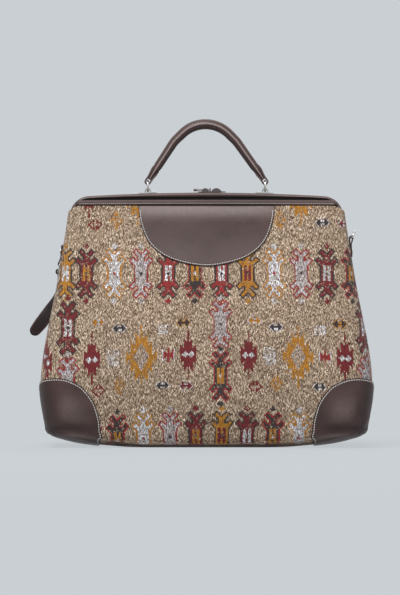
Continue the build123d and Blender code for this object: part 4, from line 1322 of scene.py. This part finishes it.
class BAG_OT_frame(bpy.types.Operator):
    """Leather covers of the two frame halves, with their stitched edges and the corded welts below"""

    bl_idname = "bag.frame"
    bl_label = "Frame covers and welts"

    def execute(self, context):
        for half, side in (("front", -1), ("rear", 1)):
            body = f"{half}_frame"
            path = in_depth(bow_path(BAR_HEIGHT / 2, COVER_FOOT), side * BAR_MIDDLE)
            depth = one_way(side * DEPTH_WAY, path)
            out = np.cross(ways_of(path), depth) * -side
            section, wear_and_painted_light = self.cover_section(path)
            rings = swept(path, out, depth, section)
            leather_strip(f"{half}_cover_leather", rings, wear_and_painted_light, f"{half}_cover", body)
            edge = bow_path(STITCH_DROP, COVER_FOOT + STITCH_FOOT)
            edge = in_depth(edge, side * (BAR_MIDDLE + BAR_DEPTH / 2 - STITCH_SUNK))
            line = (edge, one_way(side * DEPTH_WAY, edge))
            sew(f"{half}_cover_stitches", [line], leather_pitch(), COVER_STITCH, body)
            self.welt(half, body, side)
        return {"FINISHED"}

    def cover_section(self, path):
        """Section of the cover at each place: a round-edged bar with a groove over the welt, and its painted
        light: a painted highlight along the top and painted shade in the groove.
        """
        half_height, half_depth = BAR_HEIGHT / 2, BAR_DEPTH / 2
        bar = rounded_box(half_height, half_depth, COVER_ROUND, COVER_STEPS)
        x, z = np.abs(path[:, 0]), path[:, 2]
        high = half_height - np.maximum(6.1 - 3.9 * (x / 165) ** 2, 2.2)
        low = np.minimum(335.9 - 0.8 * (x / 176) ** 2 - z, high - 1.5)
        fade = (np.clip((173 - x) / 10, 0, 1) * (z > TOP))[:, None]
        across = high[:, None] + (low - high)[:, None] * GROOVE_SHARES
        across = np.clip(across, -GROOVE_LIMIT, GROOVE_LIMIT) - 0.01 * np.arange(len(GROOVE_SHARES))
        groove = np.stack([across, half_depth - (half_depth - GROOVE_FLOOR) * fade], -1)
        whole = np.broadcast_to(bar, (len(path),) + bar.shape)
        section = np.concatenate([whole[:, :COVER_STEPS], groove, whole[:, COVER_STEPS:]], 1)
        # Painted highlight on the upper half of the bar, painted shade darkening the groove
        top = np.broadcast_to(np.where(bar[:, 0] > 1.5, 0.45, 0.0), whole.shape[:2])
        wear_and_painted_light = np.concatenate([top[:, :COVER_STEPS], -fade + 0 * GROOVE_SHARES, top[:, COVER_STEPS:]], 1)
        return section, wear_and_painted_light

    def welt(self, half, body, side):
        """Corded strip: a flat oval along the cloth's top edge, pinched at each hand stitch."""
        x = np.linspace(-WELT_LONG, WELT_LONG, 900)
        ends = np.clip((WELT_LONG - np.abs(x)) / 5.0, 0, 1) ** 0.5
        pinch = 1 - 0.07 * np.abs(np.cos(x * math.pi / WELT_PITCH)) ** 3
        path = np.stack([x, np.full(len(x), side * WELT_DEPTH), WELT_MIDDLE - 0.8 * (x / WELT_LONG) ** 2], -1)
        angle = np.arange(14) * FULL / 14
        disc = np.stack([np.cos(angle), np.sin(angle)], -1)
        oval = np.sign(disc) * np.abs(disc) ** 0.8 * WELT_HALF
        scale = (np.maximum(ends, 0.06) * pinch)[:, None, None]
        rings = swept(path, one_way(DEPTH_WAY, path), one_way(UP_WAY, path), oval * scale)
        # Painted shade along the welt's underside; the rest of it is a little lighter
        wear_and_painted_light = np.broadcast_to(np.where(disc[:, 1] < -0.75, -1.0, 0.25), rings.shape[:2])
        leather_strip(f"{half}_welt_leather", rings, wear_and_painted_light, f"{half}_welt", body)
        line = path[12:-12] + np.array([0, side * 1.7, -0.9])
        line = (line, one_way(side * DEPTH_WAY, line))
        sew(f"{half}_welt_stitches", [line], WELT_PITCH, WELT_STITCH, body, slant=0.5)


# The handle's line in the frame's plane: ring, knees and peak, the radius of its bends and its step
RING_PLACE = np.array([80.13, 361.13])
KNEE = np.array([41.2, 416.0])
LEFT_KNEE = np.array([-44.0, 416.1])
PEAK = np.array([-0.7, 457.6])
HANDLE_BEND = 45.0
HANDLE_STEP = 1.2
# Radius of the grip and of its legs, the place of its seam round the section and of the stitches beside it
GRIP_RADIUS = 7.1
LEG_RADIUS = 5.8
GRIP_SEAM = math.pi * 0.97
SEAM_STITCHES = GRIP_SEAM + 0.55
GRIP_SEWN = slice(26, -26)
# Straps: where the leg starts over the ring, half thickness and half width, radius of the loop,
# how far the strap rises on the leg's outer and inner face and where both leave the loop, the mean
# step along it, and its stitches' pitch and distance from its middle
LEG_START = 3.6
LEG_SWELL = 24.0
STRAP_HALF = 1.15
STRAP_WIDE = 3.7
LOOP_RADIUS = 2.33 + STRAP_HALF
STRAP_RISE = 27.0
STRAP_TAIL = 20.0
STRAP_LEAVES = 0.8
STRAP_STEP = 1.27
STRAP_PITCH = 2.6
STRAP_SEAM = 2.6


def rounded_route(points, radius, step):
    """Dense line along straight runs whose corners are arcs of one radius."""
    pieces = [points[:1]]
    for before, corner, after in zip(points[:-2], points[1:-1], points[2:]):
        into, out = (v / np.linalg.norm(v) for v in (corner - before, after - corner))
        turn = math.acos(np.clip(into @ out, -1, 1))
        start = corner - into * (radius * math.tan(turn / 2))
        inward = (out - into * (into @ out)) / max(math.sin(turn), 1e-9)
        angle = np.linspace(0, turn, 24)[:, None]
        pieces.append(start + radius * (into * np.sin(angle) + inward * (1 - np.cos(angle))))
    route = np.concatenate(pieces + [points[-1:]])
    run = length_along(route)
    at = np.linspace(0, run[-1], int(run[-1] / step) + 1)
    return np.stack([np.interp(at, run, route[:, axis]) for axis in range(2)], -1)


def leg_size(along, grip):
    """Half width and half thickness of a leg at a distance from its end: a tongue that swells to the grip."""
    swell = smooth(along / LEG_SWELL)
    thin = LOOP_RADIUS - STRAP_HALF
    return STRAP_WIDE + (grip - STRAP_WIDE) * swell, thin + (grip - thin) * swell


class BAG_OT_handle(bpy.types.Operator):
    """Rolled leather grip with a sewn seam, and the straps that hold its rings"""

    bl_idname = "bag.handle"
    bl_label = "Handle"

    def execute(self, context):
        way = (KNEE - RING_PLACE) / np.linalg.norm(KNEE - RING_PLACE)
        start = RING_PLACE + way * LEG_START
        stops = np.stack([start, KNEE, PEAK, LEFT_KNEE, start * [-1, 1]])
        path = in_depth(rounded_route(stops, HANDLE_BEND, HANDLE_STEP), -BAR_MIDDLE)
        depth = one_way(DEPTH_WAY, path)
        out = np.cross(depth, ways_of(path))
        run = np.linspace(0, 1, len(path))
        grip = LEG_RADIUS + (GRIP_RADIUS - LEG_RADIUS) * bell(run - 0.5, 0.24)
        wide, thick = leg_size(np.minimum(run, 1 - run) * (len(path) - 1) * HANDLE_STEP, grip)
        angle = np.arange(36) * FULL / 36
        disc = np.stack([np.cos(angle), np.sin(angle)], -1)
        from_seam = angle - GRIP_SEAM
        ridge = 1 + 0.13 * bell(from_seam, 0.15) - 0.06 * bell(from_seam - 0.42, 0.2)
        rings = swept(path, depth, out, disc * ridge[:, None] * np.stack([wide, thick], -1)[:, None])
        above = np.clip(np.sin(angle), 0, 1)
        below = np.clip(-np.sin(angle) - 0.1, 0, 1)
        # Painted highlight along the seam's ridge and a lighter top, painted shade on the underside
        wear_and_painted_light = 3.6 * bell(from_seam, 0.11) - 0.75 * below + 0.25 * above**2
        wear_and_painted_light = np.broadcast_to(wear_and_painted_light, rings.shape[:2])
        leather_strip("handle_grip_leather", rings, wear_and_painted_light, "handle_grip", "handle")
        across, down = math.cos(SEAM_STITCHES) * wide, math.sin(SEAM_STITCHES) * thick
        lift = depth * across[:, None] + out * down[:, None]
        line = ((path + lift)[GRIP_SEWN], lift[GRIP_SEWN])
        sew("handle_stitches", [line], leather_pitch(), GRIP_STITCH, "handle", finish="dark_thread")
        lines = [self.strap(name, side, way) for name, side in (("left", -1), ("right", 1))]
        sew("handle_strap_stitches", lines, STRAP_PITCH, STRAP_STITCH, "handle")
        return {"FINISHED"}

    def strap(self, name, side, way):
        """Strap folded round a ring: down the leg's outer face, round the wire, up along its inner face."""
        aside = np.array([way[1], -way[0]])
        turn = np.linspace(0, math.pi, 26)[:, None]
        loop = RING_PLACE + LOOP_RADIUS * (aside * np.cos(turn) - way * np.sin(turn))
        rise = np.linspace(STRAP_RISE, STRAP_LEAVES, 22)[:, None]
        sink = np.clip((rise - 14) / 13, 0, 1)
        lies = leg_size(rise - LEG_START, LEG_RADIUS)[1] + STRAP_HALF - (2 * STRAP_HALF + 0.8) * sink**2
        down = RING_PLACE + aside * lies + way * rise
        tail = np.linspace(STRAP_LEAVES, STRAP_TAIL, 16)[:, None]
        lap = leg_size(tail - LEG_START, LEG_RADIUS)[1] + STRAP_HALF - 0.5
        lap = lap - 1.2 * np.clip((tail - 12) / 8, 0, 1)
        back = RING_PLACE - aside * np.maximum(lap, LOOP_RADIUS - 0.25) + way * tail
        path = in_depth(np.concatenate([down, loop, back]) * np.array([side, 1]), -BAR_MIDDLE)
        depth = one_way(DEPTH_WAY, path)
        to_end = np.arange(len(path))[::-1] * STRAP_STEP
        thin = 0.3 + 0.7 * np.clip(to_end / 8.0, 0, 1)
        shares = np.stack([round_tip(to_end, 4.0, 0.04), thin], -1)
        section = rounded_box(STRAP_WIDE, STRAP_HALF, 0.9) * shares[:, None]
        rings = swept(path, depth, np.cross(ways_of(path), depth), section)
        leather_strip(f"{name}_handle_strap", rings, 0.3, "handle_grip", "handle")
        along = path[-13:-3]
        inner = one_way(np.array([-aside[0] * side, 0, -aside[1]]), along)
        return along + inner * STRAP_HALF - STRAP_SEAM * DEPTH_WAY, inner


# Ring tabs: where they sit on the gussets and the gusset's lean there; then along the seat and out from it,
# the ends of the leaf, the middle and radius of the bend round the ring, and the ends of the way back
TAB_SEAT = 195.52
TAB_HEIGHT = 266.0
TAB_SLOPE = 0.0622
TAB_LEAF = (-9.0, 17.5)
TAB_LEAF_OUT = 1.45
TAB_RING = (18.0, 3.75)
TAB_BEND = 2.35
TAB_BACK = (13.0, -8.0)
TAB_BACK_OUT = 3.05
TAB_SECTION = (5.4, 0.8, 0.55)
HANG_EYE = np.array([-202.22, 0.0, 237.90])
# Shares of the hang strap's drop, reach, turn and width down its length
HANG_ROWS = np.array([
    (0.0, 0.0, 0.0, 0.0),
    (0.28, 0.04, 0.12, 0.75),
    (0.55, 0.26, 0.6, 1.0),
    (0.8, 0.64, 0.95, 1.0),
    (1.0, 1.0, 1.0, 0.6),
])
# Its points, start below the eye, drop and reach, half thickness, half width at the eye and its growth,
# the round tip, the loop's radius, and its stitches: points along it, inset and height over its middle
HANG_POINTS = 70
HANG_START = 2.1
HANG_DROP = 84.0
HANG_REACH = 37.0
HANG_HALF = 1.5
EYE_WIDE = 3.5
HANG_SWELL = 5.5
HANG_TIP = 7.0
EYE_RADIUS = 3.1
HANG_SEWN = slice(16, 66)
HANG_INSET = 1.9
HANG_LIFT = 1.45


class BAG_OT_tabs(bpy.types.Operator):
    """Leather tabs that hold the end rings, and the hang strap of the left one"""

    bl_idname = "bag.tabs"
    bl_label = "Ring tabs and hang strap"

    def execute(self, context):
        for name, side in (("left", -1), ("right", 1)):
            self.tab(name, side)
        self.hang_strap()
        return {"FINISHED"}

    def tab(self, name, side):
        """Tab on a gusset: a leaf along the cloth, a bend round the ring, and back over the leaf."""
        out = np.array([side * math.cos(TAB_SLOPE), 0, math.sin(TAB_SLOPE)])
        along = np.array([-side * math.sin(TAB_SLOPE), 0, math.cos(TAB_SLOPE)]) * side
        angle = np.linspace(-QUARTER, QUARTER + 0.6, 20)
        bend = TAB_RING + TAB_BEND * np.stack([np.cos(angle), np.sin(angle)], -1)
        leaf = np.stack([np.linspace(*TAB_LEAF, 16), np.full(16, TAB_LEAF_OUT)], -1)
        over = np.linspace(*TAB_BACK, 14)
        back = np.stack([over, TAB_BACK_OUT + 1.6 * bell(over - 14, 3)], -1)
        flat = np.concatenate([leaf, bend, back])
        path = np.array([side * TAB_SEAT, 0, TAB_HEIGHT]) + flat[:, :1] * along + flat[:, 1:] * out
        depth = one_way(DEPTH_WAY, path)
        rings = swept(path, depth, np.cross(ways_of(path), depth), rounded_box(*TAB_SECTION))
        leather_strip(f"{name}_tab_leather", rings, 0.1, f"{name}_ring_tab", "bag")

    def hang_strap(self):
        """Strap on the left ring and its loop: a smooth line down and outwards, turning to face the front."""
        down, out, turn, wide = through(HANG_ROWS, np.linspace(0, len(HANG_ROWS) - 1, HANG_POINTS)).T
        path = HANG_EYE - np.stack([HANG_REACH * out, 0 * out, HANG_START + HANG_DROP * down], -1)
        ways = ways_of(path)
        depth = one_way(DEPTH_WAY, path)
        twist = np.clip(turn, 0, 1)[:, None] * QUARTER
        sides = depth * np.cos(twist) + np.cross(depth, ways) * np.sin(twist)
        ups = np.cross(ways, sides)
        to_tip = length_along(path[::-1])[::-1]
        half = (EYE_WIDE + HANG_SWELL * np.clip(wide, 0, 1)) * round_tip(to_tip, HANG_TIP, 0.01)
        unit = rounded_box(1.0, 1.0, 0.55, 5)
        size = np.stack([half, np.full(HANG_POINTS, HANG_HALF)], -1)
        rings = swept(path, sides, ups, unit * size[:, None])
        wear_and_painted_light = np.broadcast_to(np.where(np.abs(unit[:, 0]) > 0.9, 0.9, -1.0), rings.shape[:2])
        leather_strip("hang_strap_leather", rings, wear_and_painted_light, "hang_strap", "left_ring")
        angle = np.linspace(-1.3, FULL - 1.9, 40)
        loop = HANG_EYE + EYE_RADIUS * np.stack([np.cos(angle), 0 * angle, np.sin(angle)], -1)
        across = one_way(DEPTH_WAY, loop)
        rings = swept(loop, across, np.cross(ways_of(loop), across), rounded_box(EYE_WIDE, 1.25, 0.7))
        leather_strip("hang_strap_loop", rings, -0.3, "hang_strap", "left_ring")
        aside = sides * np.clip(half - HANG_INSET, 0.2, None)[:, None]
        lines = []
        for face in (-1, 1):
            lift = face * ups
            front = path + lift * HANG_LIFT
            there, back = (front - aside)[HANG_SEWN], (front + aside)[HANG_SEWN][::-1]
            ups_there = lift[HANG_SEWN]
            lines.append((np.concatenate([there, back]), np.concatenate([ups_there, ups_there[::-1]])))
        sew("hang_strap_stitches", lines, leather_pitch(), HANG_STITCH, "left_ring", finish="dark_thread")


NODE_FINISHES = {
    "steel": ("front_bow", "rear_bow", "left_hinge_rivet", "right_hinge_rivet"),
    "board": ("base_board",),
    "thread": ("handle_cord",),
    "lock": (
        "lock_plate", "lock_hasp", "left_lock_rivet", "right_lock_rivet",
        "left_hasp_rivet", "right_hasp_rivet", "lock_pin",
    ),
    "nickel": (
        "left_handle_plate", "right_handle_plate", "left_inner_plate_rivet", "left_outer_plate_rivet",
        "right_inner_plate_rivet", "right_outer_plate_rivet", "left_handle_ring", "right_handle_ring",
        "left_end_ring", "right_end_ring", "left_tab_rivet", "right_tab_rivet",
    ),
}


class BAG_OT_fittings(bpy.types.Operator):
    """Finishes of the metal fittings, the frame's steel, the base board and the cord in the handle"""

    bl_idname = "bag.fittings"
    bl_label = "Fittings"

    def execute(self, context):
        for finish, names in NODE_FINISHES.items():
            for name in names:
                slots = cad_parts[name].data.materials
                slots.clear()
                slots.append(finish_of(finish))
        return {"FINISHED"}


# The stage: half width of the floor and its height in mm, the share of its own colour that is shown
# near the bag and far from it, and the lamps with their places, sizes and powers
FLOOR_HALF = 30000.0
FLOOR_POINTS = 9
FLOOR_HEIGHT = -0.2
FLOOR_SHOWN = {"From Min": 0.3, "From Max": 1.6, "To Min": 0.86, "To Max": 1.0}
LAMPS = (
    ("key", (-0.65, -1.55, 2.85), 1.6, 87.0),
    ("fill", (2.2, -1.8, 1.2), 2.0, 11.0),
    ("rim", (0.4, 1.6, 2.2), 1.6, 22.0),
)
LAMPS_AIM = np.array([0.0, 0.0, 0.2])


def seen_rays(tree):
    """1 for rays from the camera, reflections and clear bodies, 0 for the light itself."""
    rays = node(tree, "ShaderNodeLightPath").outputs
    seen = maths(tree, "MAXIMUM", rays["Is Camera Ray"], rays["Is Glossy Ray"])
    return maths(tree, "MAXIMUM", seen, rays["Is Transmission Ray"])


def show(tree, share, lit, shown, output):
    """Mix a lit shader with the one that is shown, and send the result to an output node."""
    blend = node(tree, "ShaderNodeMixShader", {0: share, 1: lit.outputs[0], 2: shown.outputs[0]})
    tree.links.new(blend.outputs[0], tree.nodes[output].inputs["Surface"])


class BAG_OT_stage(bpy.types.Operator):
    """Pale seamless floor and backdrop, soft lamps and the camera"""

    bl_idname = "bag.stage"
    bl_label = "Stage"

    def execute(self, context):
        scene = context.scene
        self.floor((*scene.bag_stage.backdrop, 1))
        self.light(scene, (*scene.bag_stage.backdrop, 1))
        self.camera(scene, scene.bag_stage)
        scene.view_settings.view_transform = "Standard"
        return {"FINISHED"}

    def floor(self, tint):
        """Level floor that takes the bag's shadow, and shows its own colour more and more further out."""
        side = np.linspace(-FLOOR_HALF, FLOOR_HALF, FLOOR_POINTS)
        plane = np.stack(np.broadcast_arrays(side[None], side[:, None], FLOOR_HEIGHT), -1)
        material, tree, shader = new_material("backdrop_paper", rough=0.9)
        shader.inputs["Base Color"].default_value = tint
        shader.inputs["Specular IOR Level"].default_value = 0.0
        glow = node(tree, "ShaderNodeEmission", Color=tint, Strength=1.0)
        far = node(tree, "ShaderNodeVectorMath", {0: object_place(tree)}, operation="LENGTH").outputs["Value"]
        plain = node(tree, "ShaderNodeMapRange", {"Value": far}, **FLOOR_SHOWN).outputs["Result"]
        show(tree, maths(tree, "MULTIPLY", seen_rays(tree), plain), shader, glow, "Material Output")
        quads = grid_quads(FLOOR_POINTS, FLOOR_POINTS)
        new_piece("backdrop", plane.reshape(-1, 3), [quads], [material], closed=False)

    def light(self, scene, tint):
        """World light all round, one large soft lamp high in front and weaker ones at the sides."""
        world = scene.world or bpy.data.worlds.new("studio")
        scene.world = world
        world.use_nodes = True
        tree = world.node_tree
        sky = tree.nodes["Background"]
        sky.inputs["Color"].default_value = (0.95, 0.98, 1.0, 1)
        sky.inputs["Strength"].default_value = 0.19
        pale = node(tree, "ShaderNodeBackground", Color=tint, Strength=1.0)
        show(tree, seen_rays(tree), sky, pale, "World Output")
        for name, place, size, power in LAMPS:
            lamp = bpy.data.lights.new(name, "AREA")
            lamp.size = size
            lamp.energy = power
            hung = bpy.data.objects.new(name, lamp)
            hung.location = place
            x, y, z = LAMPS_AIM - np.array(place)
            hung.rotation_euler = (math.atan2(math.hypot(x, y), -z), 0, math.atan2(y, x) - QUARTER)
            scene.collection.objects.link(hung)

    def camera(self, scene, stage):
        """Camera level in front of the bag."""
        lens = bpy.data.cameras.new("camera")
        lens.lens = stage.focal
        lens.clip_end = 100
        camera = bpy.data.objects.new("camera", lens)
        camera.location = (stage.across, -stage.distance, stage.height)
        camera.rotation_euler = (QUARTER, 0, 0)
        scene.collection.objects.link(camera)
        scene.camera = camera


OPERATORS = (
    BAG_OT_stage, BAG_OT_panels, BAG_OT_gussets, BAG_OT_base, BAG_OT_yokes, BAG_OT_corners, BAG_OT_frame,
    BAG_OT_handle, BAG_OT_tabs, BAG_OT_fittings,
)
GROUPS = {"bag_cloth": BagCloth, "bag_leather": BagLeather, "bag_metal": BagMetal, "bag_stage": BagStage}


class BAG_PT_panel(bpy.types.Panel):
    """Settings and steps of the bag"""

    bl_idname = "BAG_PT_panel"
    bl_label = "Carpet bag"
    bl_space_type = "VIEW_3D"
    bl_region_type = "UI"
    bl_category = "Bag"

    def draw(self, context):
        for name in GROUPS:
            group = getattr(context.scene, name)
            box = self.layout.box()
            for key in group.__annotations__:
                box.prop(group, key)
        for operator in OPERATORS:
            self.layout.operator(operator.bl_idname)


def register():
    """Register the settings, steps and panel, and hang the settings on the scene."""
    for made in (*GROUPS.values(), *OPERATORS, BAG_PT_panel):
        bpy.utils.register_class(made)
    for name, group in GROUPS.items():
        setattr(bpy.types.Scene, name, PointerProperty(type=group))


def unregister():
    """Undo register."""
    for name in GROUPS:
        delattr(bpy.types.Scene, name)
    for made in reversed((*GROUPS.values(), *OPERATORS, BAG_PT_panel)):
        bpy.utils.unregister_class(made)


def main():
    register()
    bpy.ops.bag.stage()
    bpy.ops.bag.panels()
    bpy.ops.bag.gussets()
    bpy.ops.bag.base()
    bpy.ops.bag.yokes()
    bpy.ops.bag.corners()
    bpy.ops.bag.frame()
    bpy.ops.bag.handle()
    bpy.ops.bag.tabs()
    bpy.ops.bag.fittings()


if __name__ == "__main__":
    main()
